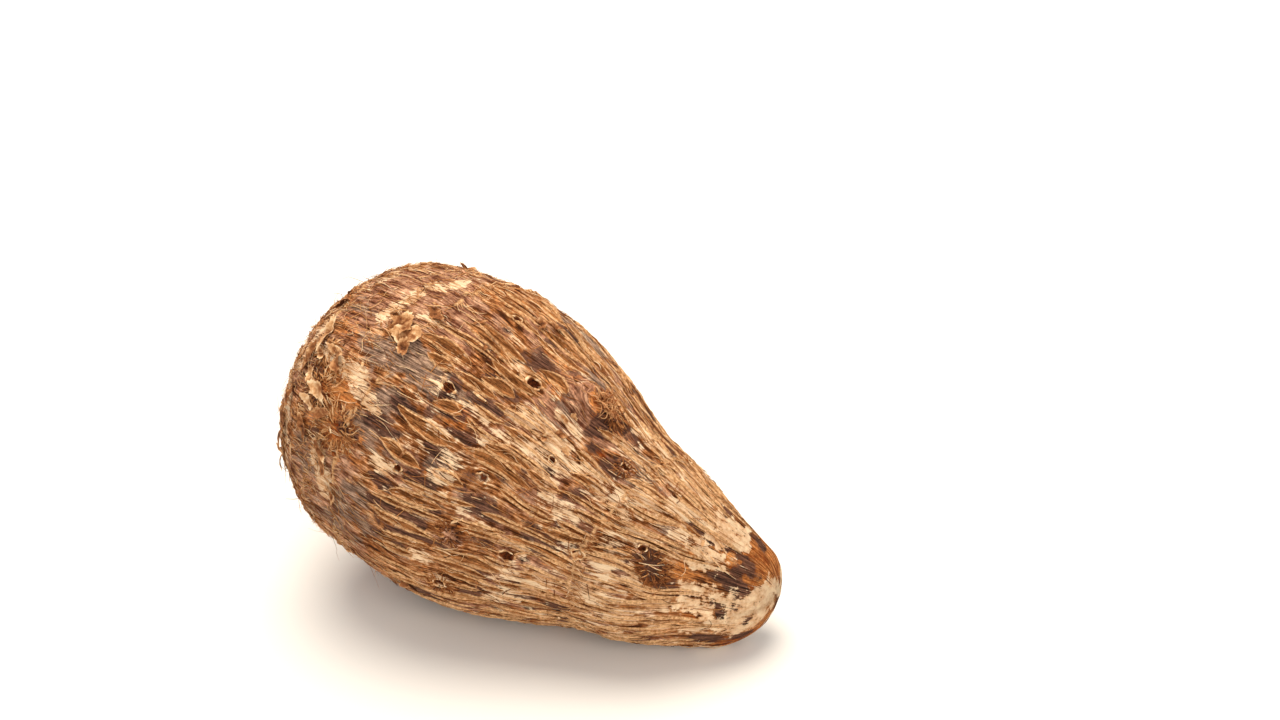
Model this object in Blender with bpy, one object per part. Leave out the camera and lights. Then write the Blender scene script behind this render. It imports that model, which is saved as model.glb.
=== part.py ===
"""Taro root: a single corm of taro, lying on its side as it comes to rest.

The corm is pear-shaped, with a broad crown where the leaf stalks grew and a
narrow root tip at +X.  Its form is a run of oval sections set along a bent
spine.  The sections stand skewed to the spine, as leaf scars do on a corm that
grew at a slant.  The origin is on the resting plane, under the middle of the
corm's bounding box.  Units are metres and +Z is up.
"""
import math

import bmesh
import bpy
import numpy as np

MM = 0.001

# The rounded form
SPINE_LENGTH = 116 * MM
SECTION_HEIGHTS = np.array([0, 15, 30.5, 37.5, 39.5, 36.5, 28, 22, 14.5, 9, 0]) * MM  # half heights, crown to tip
SECTION_WIDTH = 0.90                 # width of a section as a share of its height
CROWN_SKEW = math.radians(19)        # how far the crown's leaf scars stand off square to the spine
SIDE_BENDS = np.array([1, -2, -3.5, -4, -4, 5]) * MM  # the spine's swing in Y, crown to tip

# How it lies
SPINE_HEIGHT = 34.7 * MM             # spine over the resting plane at the bulge
BULGE_STATION = 0.45                 # the bulge's place, as a share of the spine
SPINE_FALL = 35.5 * MM               # how much lower the spine is at the tip than at the crown
SPINE_ARCH = 1.5 * MM                # rise of the spine's middle over a straight line
CROWN_DROOP = 6 * MM                 # how far the crown hangs under that line
CROWN_SHARE = 0.35                   # part of the spine that droops
TIP_DROOP = 1.2 * MM                 # how far the tip's end hangs under it
TIP_SHARE = 0.2                      # part of the spine that droops there

# Surface relief: (turn along the corm, degrees around it, radius, height); degrees run from +Y over the top
BUDS = (
    (0.580, 87, 7 * MM, 2.4 * MM),
    (0.735, 152, 5 * MM, 0.9 * MM),
    (0.505, 173, 3.5 * MM, 0.7 * MM),
    (0.650, 103, 3 * MM, 0.8 * MM),
    (0.610, 312, 6 * MM, 1.8 * MM),
    (0.420, 15, 4 * MM, 1.2 * MM),
    (0.720, 22, 3.5 * MM, 0.9 * MM),
)
HEELS = (                            # lumps of the underside that it rests on, given as the buds are
    (0.365, 266, 11 * MM, 2.4 * MM),
    (0.800, 266, 10 * MM, 4.1 * MM),
)
LEAF_SCARS = (0.13, 0.24, 0.365, 0.54, 0.65, 0.79, 0.88)   # turns along the corm
SCAR_STEP = 0.45 * MM                # the rise from one leaf scar to the next
SCAR_WIDTH = 0.02                    # a scar's step, in turns
SWELLS = ((2, 3.1, 0.4, 0.33 * MM), (3, 5.3, 2.1, 0.24 * MM), (5, 7.9, 4.0, 0.13 * MM))  # around, along, phase, height

# Mesh
SECTIONS = 56
SEGMENTS = 60

SKIN_COLOUR = (0.33, 0.185, 0.085, 1.0)
SKIN_ROUGHNESS = 0.85


def natural_curve(values, share):
    """The natural cubic spline through evenly spaced values, read at shares from 0 to 1."""
    count = len(values)
    system = np.eye(count)
    right = np.zeros(count)
    for i in range(1, count - 1):
        system[i, i - 1:i + 2] = (1, 4, 1)
        right[i] = 6 * (values[i + 1] - 2 * values[i] + values[i - 1])
    bend = np.linalg.solve(system, right)
    place = np.clip(share, 0, 1) * (count - 1)
    i = np.minimum(place.astype(int), count - 2)
    f = place - i
    slope = values[i + 1] - values[i] - (2 * bend[i] + bend[i + 1]) / 6
    return values[i] + f * (slope + f * (bend[i] / 2 + f * (bend[i + 1] - bend[i]) / 6))


def spine(turn):
    """Half height, X, Y, Z and skew of the section at each turn: 0 is the crown's pole, 1 the tip's."""
    share = (1 - np.cos(math.pi * turn)) / 2
    half_height = natural_curve(SECTION_HEIGHTS, turn)
    side = natural_curve(SIDE_BENDS, share)
    crown_droop = CROWN_DROOP * np.clip(1 - share / CROWN_SHARE, 0, 1) ** 2
    tip_droop = TIP_DROOP * np.clip(1 - (1 - share) / TIP_SHARE, 0, 1) ** 2
    height = (SPINE_HEIGHT - SPINE_FALL * (share - BULGE_STATION)
              + SPINE_ARCH * 4 * share * (1 - share) - crown_droop - tip_droop)
    skew = CROWN_SKEW * (1 - share ** 2)
    return half_height, SPINE_LENGTH * (share - 0.5), side, height, skew


def relief(turn, angle, half_height):
    """Height of the swells, the leaf scars' steps and the buds over the rounded form."""
    height = sum(rise * np.sin(around * angle + along * turn + phase)
                 for around, along, phase, rise in SWELLS)
    for scar in LEAF_SCARS:
        step = np.tanh((turn - scar) / SCAR_WIDTH)
        height = height + SCAR_STEP * step * np.exp(-((turn - scar) / (3 * SCAR_WIDTH)) ** 2)
    height = height * np.sin(math.pi * turn)
    for bud_turn, bud_angle, radius, rise in BUDS + HEELS:
        off = angle - math.radians(bud_angle)
        across = half_height * np.arctan2(np.sin(off), np.cos(off))
        along = SPINE_LENGTH * math.pi / 2 * math.sin(math.pi * bud_turn) * (turn - bud_turn)
        height = height + rise * np.exp(-(across ** 2 + along ** 2) / radius ** 2)
    return height


def corm_points():
    """One row of points around each section, from the crown's pole to the tip's."""
    turn = np.linspace(0, 1, SECTIONS + 1)[:, None]
    angle = np.linspace(0, 2 * math.pi, SEGMENTS, endpoint=False)[None, :]
    half_height, x, y, z, skew = spine(turn)
    half_height = half_height + relief(turn, angle, half_height)
    sideways = SECTION_WIDTH * half_height * np.cos(angle)
    points = np.stack((x + sideways * np.sin(skew),
                       y + sideways * np.cos(skew),
                       z + half_height * np.sin(angle)), axis=-1)
    points[..., 2] = np.maximum(points[..., 2], 0)      # the flats it rests on
    low, high = points.min(axis=(0, 1)), points.max(axis=(0, 1))
    points[..., :2] -= ((low + high) / 2)[:2]
    return points


def corm_mesh(name):
    """The rows of points joined by quads, and closed by a fan at each pole."""
    points = corm_points()
    mesh = bpy.data.meshes.new(name)
    bm = bmesh.new()
    crown = bm.verts.new(points[0, 0])
    tip = bm.verts.new(points[-1, 0])
    rows = [[bm.verts.new(point) for point in row] for row in points[1:-1]]
    for k in range(SEGMENTS):
        n = (k + 1) % SEGMENTS
        bm.faces.new((crown, rows[0][n], rows[0][k]))
        bm.faces.new((tip, rows[-1][k], rows[-1][n]))
        for near, far in zip(rows, rows[1:]):
            bm.faces.new((near[k], near[n], far[n], far[k]))
    bmesh.ops.triangulate(bm, faces=bm.faces[:])
    bmesh.ops.recalc_face_normals(bm, faces=bm.faces[:])
    bm.to_mesh(mesh)
    bm.free()
    mesh.shade_smooth()
    return mesh


def skin_material():
    """The dry brown skin of the corm."""
    material = bpy.data.materials.new("taro_skin")
    material.use_nodes = True
    shader = material.node_tree.nodes["Principled BSDF"]
    shader.inputs["Base Color"].default_value = SKIN_COLOUR
    shader.inputs["Roughness"].default_value = SKIN_ROUGHNESS
    shader.inputs["Metallic"].default_value = 0.0
    return material


def main():
    for thing in list(bpy.data.objects):
        bpy.data.objects.remove(thing, do_unlink=True)
    corm = bpy.data.objects.new("taro_corm", corm_mesh("taro_corm"))
    corm.data.materials.append(skin_material())
    bpy.context.scene.collection.objects.link(corm)


main()
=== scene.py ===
"""The looks of the taro root.

The skin is one closed surface: the corm's own form, with the splits of its old skin, its leaf scars, root
scars and buds raised on it.  Strips along the splits, fibres, hairs, tufts and papery flakes stand on it.
Places on the corm are given as a turn (0 at the crown's pole, 1 at the tip's) and an angle around it, which
runs from the +Y side over the top.  Lengths are metres, except where a comment says mm.
"""
import math

import bpy
import numpy as np
from mathutils import Matrix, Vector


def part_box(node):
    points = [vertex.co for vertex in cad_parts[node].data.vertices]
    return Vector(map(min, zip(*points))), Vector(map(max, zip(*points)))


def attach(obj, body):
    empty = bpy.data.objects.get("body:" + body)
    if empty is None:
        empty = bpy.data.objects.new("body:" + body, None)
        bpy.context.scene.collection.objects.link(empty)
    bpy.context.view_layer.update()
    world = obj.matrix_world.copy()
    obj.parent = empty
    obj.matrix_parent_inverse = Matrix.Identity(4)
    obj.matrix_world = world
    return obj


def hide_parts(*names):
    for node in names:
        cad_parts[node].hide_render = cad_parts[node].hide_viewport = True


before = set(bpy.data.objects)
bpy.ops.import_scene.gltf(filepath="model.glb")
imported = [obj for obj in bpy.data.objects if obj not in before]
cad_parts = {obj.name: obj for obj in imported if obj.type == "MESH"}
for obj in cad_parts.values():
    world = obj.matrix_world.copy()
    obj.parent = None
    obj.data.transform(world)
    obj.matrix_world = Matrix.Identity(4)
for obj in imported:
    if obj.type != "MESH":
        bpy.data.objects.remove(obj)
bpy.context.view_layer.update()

MM = 0.001
TAU = 2 * math.pi

# ---------------------------------------------------------------- the form

# The solid's own driving dimensions: the skin follows the same formula on a finer grid
SPINE_LENGTH = 116 * MM
SECTION_HEIGHTS = np.array([0, 15, 30.5, 37.5, 39.5, 36.5, 28, 22, 14.5, 9, 0]) * MM
SECTION_WIDTH = 0.90
CROWN_SKEW = math.radians(19)
SIDE_BENDS = np.array([1, -2, -3.5, -4, -4, 5]) * MM
SPINE_HEIGHT = 34.7 * MM
BULGE_STATION = 0.45
SPINE_FALL = 35.5 * MM
SPINE_ARCH = 1.5 * MM
CROWN_DROOP = 6 * MM
CROWN_SHARE = 0.35
TIP_DROOP = 1.2 * MM
TIP_SHARE = 0.2
BUDS = (
    (0.580, 87, 7 * MM, 2.4 * MM),
    (0.735, 152, 5 * MM, 0.9 * MM),
    (0.505, 173, 3.5 * MM, 0.7 * MM),
    (0.650, 103, 3 * MM, 0.8 * MM),
    (0.610, 312, 6 * MM, 1.8 * MM),
    (0.420, 15, 4 * MM, 1.2 * MM),
    (0.720, 22, 3.5 * MM, 0.9 * MM),
)
HEELS = (
    (0.365, 266, 11 * MM, 2.4 * MM),
    (0.800, 266, 10 * MM, 4.1 * MM),
)
LEAF_SCARS = (0.13, 0.24, 0.365, 0.54, 0.65, 0.79, 0.88)
SCAR_STEP = 0.45 * MM
SCAR_WIDTH = 0.02
SWELLS = ((2, 3.1, 0.4, 0.33 * MM), (3, 5.3, 2.1, 0.24 * MM), (5, 7.9, 4.0, 0.13 * MM))

# ---------------------------------------------------------------- the skin's grid and its marks

ROWS = 178                           # along the corm, evenly spaced over the skin
COLUMNS = 556                        # around it

# Root scars: (turn, degrees, radius, depth)
ROOT_SCARS = (
    (0.520, 101, 1.5 * MM, 1.3 * MM),
    (0.455, 123, 1.4 * MM, 1.1 * MM),
    (0.440, 157, 0.9 * MM, 0.8 * MM),
    (0.565, 174, 1.5 * MM, 1.2 * MM),
    (0.640, 159, 1.2 * MM, 1.0 * MM),
    (0.650, 103, 1.0 * MM, 0.8 * MM),
    (0.580, 124, 0.8 * MM, 0.7 * MM),
    (0.527, 146, 1.3 * MM, 0.4 * MM),
    (0.716, 96, 1.0 * MM, 0.6 * MM),
    (0.712, 141, 0.9 * MM, 0.8 * MM),
    (0.318, 142, 0.9 * MM, 0.7 * MM),
    (0.452, 82, 1.1 * MM, 0.8 * MM),
    (0.485, 200, 1.4 * MM, 0.8 * MM),
    (0.500, 247, 1.4 * MM, 1.0 * MM),
    (0.600, 228, 1.1 * MM, 0.9 * MM),
    (0.430, 301, 1.4 * MM, 1.1 * MM),
    (0.560, 285, 1.2 * MM, 1.0 * MM),
    (0.675, 270, 1.1 * MM, 0.8 * MM),
    (0.505, 336, 1.5 * MM, 1.2 * MM),
    (0.610, 352, 1.2 * MM, 1.0 * MM),
    (0.470, 18, 1.3 * MM, 1.1 * MM),
    (0.560, 40, 1.4 * MM, 1.1 * MM),
    (0.680, 52, 1.0 * MM, 0.8 * MM),
    (0.370, 350, 1.0 * MM, 0.8 * MM),
)

# Patches of colour: (turn, degrees, half length in mm, half width in mm, strength)
CREAM_PATCHES = (
    (0.338, 134, 2.6, 2.3, 1.3),
    (0.354, 137, 2.8, 2.2, 1.4),
    (0.370, 140, 2.8, 1.7, 1.4),
    (0.386, 143, 2.4, 1.1, 1.3),
    (0.230, 130, 1.8, 5.0, 1.3),
    (0.200, 143, 1.7, 6.5, 1.3),
    (0.287, 131, 2.2, 2.6, 1.2),
    (0.232, 170, 1.5, 9.0, 0.9),
    (0.285, 132, 5.0, 1.3, 0.9),
    (0.362, 82, 1.6, 6.0, 1.25),
    (0.340, 95, 1.6, 5.0, 1.2),
    (0.327, 107, 1.3, 4.5, 1.0),
    (0.262, 88, 1.6, 7.5, 0.7),
    (0.322, 168, 1.8, 3.6, 1.3),
    (0.337, 179, 1.8, 5.5, 1.3),
    (0.395, 104, 3.0, 1.8, 0.8),
    (0.425, 158, 3.8, 1.9, 0.7),
    (0.450, 146, 5.0, 2.2, 0.42),
    (0.455, 163, 5.0, 2.2, 0.42),
    (0.500, 143, 5.0, 2.6, 0.42),
    (0.500, 160, 5.0, 2.6, 0.42),
    (0.440, 130, 4.0, 2.0, 0.4),
    (0.470, 137, 3.2, 1.3, 0.6),
    (0.490, 152, 3.4, 2.2, 0.55),
    (0.475, 186, 3.2, 3.4, 0.6),
    (0.490, 196, 2.6, 2.6, 0.6),
    (0.577, 116, 4.0, 4.2, 0.95),
    (0.567, 103, 4.2, 1.4, 0.9),
    (0.655, 92, 4.4, 2.2, 0.75),
    (0.700, 84, 4.4, 2.2, 0.75),
    (0.690, 110, 5.0, 1.6, 0.8),
    (0.725, 104, 4.4, 1.6, 0.8),
    (0.446, 122, 1.0, 2.4, 0.7),
    (0.527, 146, 2.2, 2.2, 0.35),
    (0.500, 99, 2.4, 1.2, 0.7),
    (0.620, 140, 5.0, 2.4, 0.6),
    (0.540, 128, 5.0, 2.4, 0.55),
    (0.660, 124, 4.0, 2.0, 0.65),
    (0.660, 176, 5.0, 2.6, 0.7),
    (0.700, 165, 4.0, 2.0, 0.7),
    (0.600, 178, 3.4, 2.0, 0.7),
    (0.545, 200, 3.0, 2.4, 0.7),
    (0.020, 0, 3.5, 200, 0.8),
    (0.690, 191, 4.0, 2.6, 0.75),
    (0.680, 213, 2.6, 2.4, 0.6),
    (0.775, 122, 5.5, 2.6, 0.95),
    (0.770, 138, 5.5, 2.0, 0.75),
    (0.790, 158, 5.0, 2.0, 0.75),
    (0.835, 166, 4.0, 2.0, 0.85),
    (0.760, 176, 5.5, 2.2, 0.75),
    (0.815, 99, 5.0, 3.4, 1.1),
    (0.795, 84, 5.0, 3.0, 0.95),
    (0.740, 76, 6.0, 2.6, 0.85),
    (0.690, 72, 7.0, 2.4, 0.75),
    (0.640, 74, 5.0, 2.0, 0.65),
    (0.610, 112, 5.0, 1.6, 0.7),
    (0.755, 96, 5.0, 1.6, 0.9),
    (0.795, 176, 6.5, 3.4, 0.75),
    (0.820, 195, 3.4, 3.2, 1.0),
    (0.865, 192, 2.4, 3.0, 1.1),
    (0.765, 205, 5.0, 3.0, 0.75),
    (0.930, 163, 4.2, 3.0, 1.2),
    (0.905, 170, 3.0, 3.4, 1.2),
    (0.960, 125, 2.4, 3.0, 0.9),
    (0.918, 194, 2.6, 2.6, 1.2),
    (0.840, 212, 3.0, 2.4, 0.9),
    (0.420, 230, 4.0, 5.0, 0.7),
    (0.540, 262, 5.0, 3.0, 0.7),
    (0.330, 300, 2.2, 8.0, 0.8),
    (0.480, 318, 5.0, 3.0, 0.8),
    (0.590, 330, 4.0, 3.4, 0.8),
    (0.400, 350, 2.0, 7.0, 0.8),
    (0.460, 30, 4.0, 3.0, 0.8),
    (0.350, 40, 1.6, 8.0, 0.8),
    (0.640, 20, 5.0, 2.4, 0.8),
    (0.800, 270, 6.0, 5.0, 0.9),
    (0.820, 330, 6.0, 4.5, 1.0),
    (0.790, 25, 6.0, 4.5, 1.0),
)
DARK_PATCHES = (
    (0.425, 137, 5.0, 2.4, 1.0),
    (0.405, 146, 4.5, 2.0, 0.9),
    (0.302, 150, 3.0, 2.0, 0.9),
    (0.362, 154, 3.0, 2.2, 0.9),
    (0.320, 162, 3.4, 1.8, 0.9),
    (0.282, 140, 2.6, 2.0, 0.8),
    (0.430, 150, 3.6, 1.8, 0.9),
    (0.468, 129, 4.2, 1.7, 1.1),
    (0.490, 135, 3.4, 1.2, 1.0),
    (0.478, 144, 3.6, 1.5, 1.2),
    (0.500, 151, 3.4, 1.2, 1.0),
    (0.465, 156, 3.6, 1.5, 1.2),
    (0.478, 165, 3.4, 1.4, 1.2),
    (0.428, 163, 3.0, 1.8, 1.1),
    (0.430, 172, 4.5, 2.0, 1.1),
    (0.462, 172, 3.4, 1.8, 1.1),
    (0.445, 180, 4.0, 1.8, 0.9),
    (0.485, 177, 3.4, 1.3, 1.0),
    (0.500, 120, 5.5, 2.2, 0.8),
    (0.430, 183, 5.5, 2.6, 0.6),
    (0.530, 156, 5.0, 3.0, 0.7),
    (0.590, 157, 6.0, 3.4, 0.6),
    (0.500, 110, 5.0, 2.0, 0.7),
    (0.530, 186, 4.0, 2.2, 0.5),
    (0.525, 93, 5.0, 1.8, 0.7),
    (0.470, 95, 5.0, 1.8, 0.65),
    (0.475, 64, 6.0, 2.6, 0.6),
    (0.640, 104, 4.6, 2.0, 0.7),
    (0.745, 92, 5.0, 1.5, 0.8),
    (0.770, 106, 6.0, 1.7, 0.95),
    (0.725, 148, 4.0, 3.6, 0.85),
    (0.750, 160, 3.6, 2.0, 0.7),
    (0.862, 149, 3.1, 2.0, 1.1),
    (0.835, 143, 3.4, 1.4, 1.0),
    # These two on the big bud's tip side are the dark brown of its base, with painted shade under the mound's
    # edge
    (0.600, 92, 1.9, 3.4, 1.2),
    (0.612, 82, 1.5, 3.0, 1.1),
    (0.790, 108, 6.0, 1.7, 1.1),
    (0.850, 172, 4.0, 1.3, 0.85),
    (0.800, 226, 6.0, 2.8, 0.95),
    (0.865, 227, 3.0, 1.8, 0.9),
    (0.840, 188, 1.6, 2.4, 0.85),
    (0.890, 200, 2.0, 2.0, 0.8),
    (0.610, 200, 6.0, 2.0, 0.5),
    (0.440, 215, 8.0, 3.0, 0.8),
    (0.520, 235, 6.0, 4.0, 0.7),
    (0.470, 275, 8.0, 4.5, 0.85),
    (0.560, 300, 6.0, 3.0, 0.7),
    (0.450, 330, 7.0, 4.5, 0.9),
    (0.510, 5, 6.0, 4.0, 0.85),
    (0.430, 42, 6.0, 4.0, 0.8),
    (0.860, 290, 6.0, 4.0, 1.0),
    (0.850, 0, 6.0, 3.6, 1.0),
    (0.800, 50, 6.0, 2.6, 0.8),
)
RUST_PATCHES = (
    (0.330, 140, 7.0, 5.5, 0.9),
    (0.350, 156, 5.5, 4.6, 1.0),
    (0.300, 160, 6.0, 7.0, 0.5),
    (0.290, 118, 6.0, 5.0, 0.5),
    (0.215, 105, 3.0, 3.0, 0.9),
    (0.466, 127, 2.6, 1.2, 1.1),
    (0.595, 84, 3.6, 2.4, 1.1),
    (0.895, 100, 6.0, 6.0, 1.2),
    (0.875, 78, 5.5, 6.0, 1.1),
    (0.935, 120, 3.0, 3.0, 1.1),
    (0.872, 127, 3.4, 2.4, 1.1),
    (0.970, 150, 1.6, 3.0, 0.9),
    (0.860, 108, 3.0, 1.6, 1.0),
    (0.810, 112, 4.0, 1.6, 1.0),
    (0.830, 122, 2.6, 1.7, 0.9),
    (0.930, 140, 1.6, 2.6, 0.9),
    (0.945, 110, 3.0, 3.0, 0.9),
    (0.945, 210, 3.0, 2.4, 0.7),
    (0.965, 182, 1.6, 2.0, 0.9),
    (0.790, 132, 5.0, 1.6, 0.7),
    (0.620, 88, 4.0, 4.0, 0.5),
    (0.610, 163, 4.0, 2.0, 0.8),
    (0.620, 122, 4.0, 2.0, 0.5),
    (0.555, 137, 4.5, 2.2, 0.55),
    (0.485, 202, 3.6, 2.6, 0.9),
    (0.780, 150, 4.6, 2.2, 0.7),
    (0.780, 192, 4.6, 2.4, 0.6),
    (0.900, 206, 2.2, 2.0, 0.8),
    (0.430, 80, 6.0, 4.0, 0.4),
    (0.400, 260, 8.0, 8.0, 0.6),
    (0.330, 340, 8.0, 8.0, 0.6),
    (0.600, 10, 8.0, 5.0, 0.6),
    (0.880, 330, 5.0, 6.0, 0.9),
    (0.840, 235, 5.0, 5.0, 0.8),
    (0.300, 20, 8.0, 8.0, 0.6),
)
SLATE_PATCHES = (
    (0.405, 122, 11.0, 4.6, 1.1),
    (0.370, 152, 3.4, 2.8, 1.0),
    (0.400, 137, 8.0, 3.0, 0.8),
    (0.400, 150, 8.0, 5.0, 0.6),
    (0.290, 110, 5.0, 3.0, 0.5),
    (0.385, 184, 7.0, 4.0, 0.75),
    (0.400, 173, 6.0, 4.0, 0.6),
    (0.290, 172, 6.0, 7.0, 0.5),
    (0.340, 195, 9.0, 5.0, 0.6),
    (0.540, 76, 4.0, 4.0, 0.5),
    (0.730, 120, 3.0, 2.0, 0.6),
    (0.400, 240, 10.0, 8.0, 0.8),
    (0.420, 310, 10.0, 8.0, 0.8),
    (0.400, 20, 10.0, 8.0, 0.8),
)
MAUVE_PATCHES = (
    (0.330, 90, 13.0, 9.0, 1.0),
    (0.420, 98, 9.0, 7.0, 0.8),
    (0.300, 108, 8.0, 7.0, 0.8),
    (0.225, 140, 5.0, 11.0, 0.6),
    (0.300, 185, 9.0, 8.0, 0.6),
    (0.570, 91, 6.0, 5.4, 1.8),
    (0.505, 173, 2.4, 2.4, 1.1),
    (0.650, 103, 3.0, 2.4, 1.0),
    (0.660, 205, 5.0, 4.0, 0.7),
    (0.300, 60, 12.0, 10.0, 0.8),
    (0.320, 320, 12.0, 12.0, 0.7),
    (0.320, 250, 12.0, 10.0, 0.6),
)


def natural_curve(values, share):
    """The natural cubic spline through evenly spaced values, read at shares from 0 to 1."""
    count = len(values)
    system = np.eye(count)
    right = np.zeros(count)
    for i in range(1, count - 1):
        system[i, i - 1:i + 2] = (1, 4, 1)
        right[i] = 6 * (values[i + 1] - 2 * values[i] + values[i - 1])
    bend = np.linalg.solve(system, right)
    place = np.clip(share, 0, 1) * (count - 1)
    i = np.minimum(place.astype(int), count - 2)
    f = place - i
    slope = values[i + 1] - values[i] - (2 * bend[i] + bend[i + 1]) / 6
    return values[i] + f * (slope + f * (bend[i] / 2 + f * (bend[i + 1] - bend[i]) / 6))


def wrapped(angle):
    """The angle brought between minus and plus half a turn."""
    return (angle + math.pi) % TAU - math.pi


def fade(value, start, end):
    """0 before start, 1 after end, with a smooth rise between."""
    share = np.clip((value - start) / (end - start), 0, 1)
    return share * share * (3 - 2 * share)


def spine(turn):
    """Half height, X, Y, Z and skew of the section at each turn."""
    share = (1 - np.cos(math.pi * turn)) / 2
    half_height = natural_curve(SECTION_HEIGHTS, turn)
    side = natural_curve(SIDE_BENDS, share)
    crown_droop = CROWN_DROOP * np.clip(1 - share / CROWN_SHARE, 0, 1) ** 2
    tip_droop = TIP_DROOP * np.clip(1 - (1 - share) / TIP_SHARE, 0, 1) ** 2
    height = (SPINE_HEIGHT - SPINE_FALL * (share - BULGE_STATION)
              + SPINE_ARCH * 4 * share * (1 - share) - crown_droop - tip_droop)
    return half_height, SPINE_LENGTH * (share - 0.5), side, height, CROWN_SKEW * (1 - share ** 2)


def swells(turn, angle, half_height):
    """Height of the swells, the leaf scars' steps and the buds over the rounded form."""
    height = sum(rise * np.sin(around * angle + along * turn + phase)
                 for around, along, phase, rise in SWELLS)
    for scar in LEAF_SCARS:
        step = np.tanh((turn - scar) / SCAR_WIDTH)
        height = height + SCAR_STEP * step * np.exp(-((turn - scar) / (3 * SCAR_WIDTH)) ** 2)
    height = height * np.sin(math.pi * turn)
    for bud_turn, bud_angle, radius, rise in BUDS + HEELS:
        across = half_height * wrapped(angle - math.radians(bud_angle))
        along = SPINE_LENGTH * math.pi / 2 * math.sin(math.pi * bud_turn) * (turn - bud_turn)
        height = height + rise * np.exp(-(across ** 2 + along ** 2) / radius ** 2)
    return height


def corm_form(turn, angle):
    """Oval sections along the bent spine, each swelled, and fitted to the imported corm's box."""
    half_height, x, y, z, skew = spine(turn)
    half_height = half_height + swells(turn, angle, half_height)
    sideways = SECTION_WIDTH * half_height * np.cos(angle)
    points = np.stack((x + sideways * np.sin(skew),
                       y + sideways * np.cos(skew),
                       z + half_height * np.sin(angle)), axis=-1)
    low, high = points.min(axis=(0, 1)), points.max(axis=(0, 1))
    low[2] = 0
    box_low, box_high = (np.array(corner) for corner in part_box("taro_corm"))
    return box_low + (points - low) * (box_high - box_low) / (high - low)


def skin_distance(turn):
    """Distance over the skin from the crown's pole, along the outline of the sections."""
    fine = np.linspace(0, 1, 2001)
    half_height, x = spine(fine)[:2]
    steps = np.hypot(np.diff(half_height), np.diff(x))
    return np.interp(turn, fine, np.concatenate(([0], np.cumsum(steps))))


def turn_at(distance):
    """The turn at each distance over the skin."""
    fine = np.linspace(0, 1, 2001)
    return np.interp(distance, skin_distance(fine), fine)


def grain(distance, angle, cell, around, seed):
    """Smoothed random values, -1 to 1, on cells of one length along the corm and a whole number around it."""
    reach = int(SKIN_LENGTH / cell) + 3
    lattice = np.random.default_rng(seed).uniform(-1, 1, (reach, around))
    x = np.clip(distance, 0, SKIN_LENGTH) / cell
    y = (angle / TAU % 1) * around
    i, j = np.floor(x).astype(int), np.floor(y).astype(int)
    f, g = x - i, y - j
    f, g = f * f * (3 - 2 * f), g * g * (3 - 2 * g)
    near, far = j % around, (j + 1) % around
    return ((lattice[i, near] * (1 - g) + lattice[i, far] * g) * (1 - f)
            + (lattice[i + 1, near] * (1 - g) + lattice[i + 1, far] * g) * f)


def cloud(points, cell, seed):
    """Smoothed random values, about -1 to 1, on cubic cells in space: the same in every direction."""
    low = points.reshape(-1, 3).min(axis=0)
    place = (points - low) / cell
    reach = place.reshape(-1, 3).max(axis=0).astype(int) + 2
    lattice = np.random.default_rng(seed).uniform(-1.4, 1.4, reach)
    near = np.floor(place).astype(int)
    f = place - near
    f = f * f * (3 - 2 * f)
    total = 0
    for corner in np.ndindex(2, 2, 2):
        weight = np.where(np.array(corner) == 1, f, 1 - f).prod(axis=-1)
        x, y, z = np.moveaxis(near + np.array(corner), -1, 0)
        total = total + weight * lattice[x, y, z]
    return total


def clouds(points, cell, seed):
    """Two sizes of cloud, the smaller weaker."""
    return cloud(points, cell, seed) + 0.5 * cloud(points, 0.45 * cell, seed + 1)


def outward(points):
    """Unit normals of a grid of points, from its slopes along and around."""
    along = np.gradient(points, axis=0)
    around = np.roll(points, -1, axis=1) - np.roll(points, 1, axis=1)
    normal = np.cross(around, along)
    length = np.linalg.norm(normal, axis=-1, keepdims=True)
    normal = normal / np.maximum(length, 1e-12)
    normal[0] = normal[1].mean(axis=0)
    normal[-1] = normal[-2].mean(axis=0)
    return normal / np.linalg.norm(normal, axis=-1, keepdims=True)


SKIN_LENGTH = float(skin_distance(1.0))
DISTANCE = np.linspace(0, SKIN_LENGTH, ROWS + 1)[:, None]
TURN = turn_at(DISTANCE)
ANGLE = np.linspace(0, TAU, COLUMNS, endpoint=False)[None, :]
RADIUS = np.maximum(spine(TURN)[0], 1 * MM)


# ---------------------------------------------------------------- the run of the skin's grain

GRAIN_SWING = 0.95 * MM              # how far the grain swings to and fro over 25 mm


def grain_angle(distance, angle):
    """The angle that a line of the grain keeps: lines swing gently, and part round scars and buds.

    Round a scar it is the stream line of a flow round a post: across * (1 - r^2 / (distance^2 + r^2 / 3)).
    """
    radius = np.maximum(spine(turn_at(distance))[0], 1 * MM)
    shift = GRAIN_SWING / radius * (grain(distance, angle, 25 * MM, 9, 11)
                                    + 0.6 * grain(distance, angle, 9 * MM, 26, 12))
    posts = [(turn, degrees, 0.8 * size) for turn, degrees, size, _ in ROOT_SCARS]
    posts += [(turn, degrees, 0.5 * size) for turn, degrees, size, _ in BUDS]
    for turn, degrees, size in posts:
        along = distance - skin_distance(turn)
        across = radius * wrapped(angle - math.radians(degrees))
        shift = shift - across / radius * size ** 2 / (along ** 2 + across ** 2 + size ** 2 / 3)
    return angle + shift * np.clip(np.sin(math.pi * distance / SKIN_LENGTH) * 4, 0, 1)


GRAIN_ANGLE = grain_angle(DISTANCE, ANGLE)


def skin_angle(distance, held):
    """The angle around the corm where a line of the grain lies at a distance along it."""
    angle = held
    for _ in range(6):
        angle = angle - 0.8 * wrapped(grain_angle(distance, angle) - held)
    return angle


# ---------------------------------------------------------------- splits of the old skin

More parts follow.
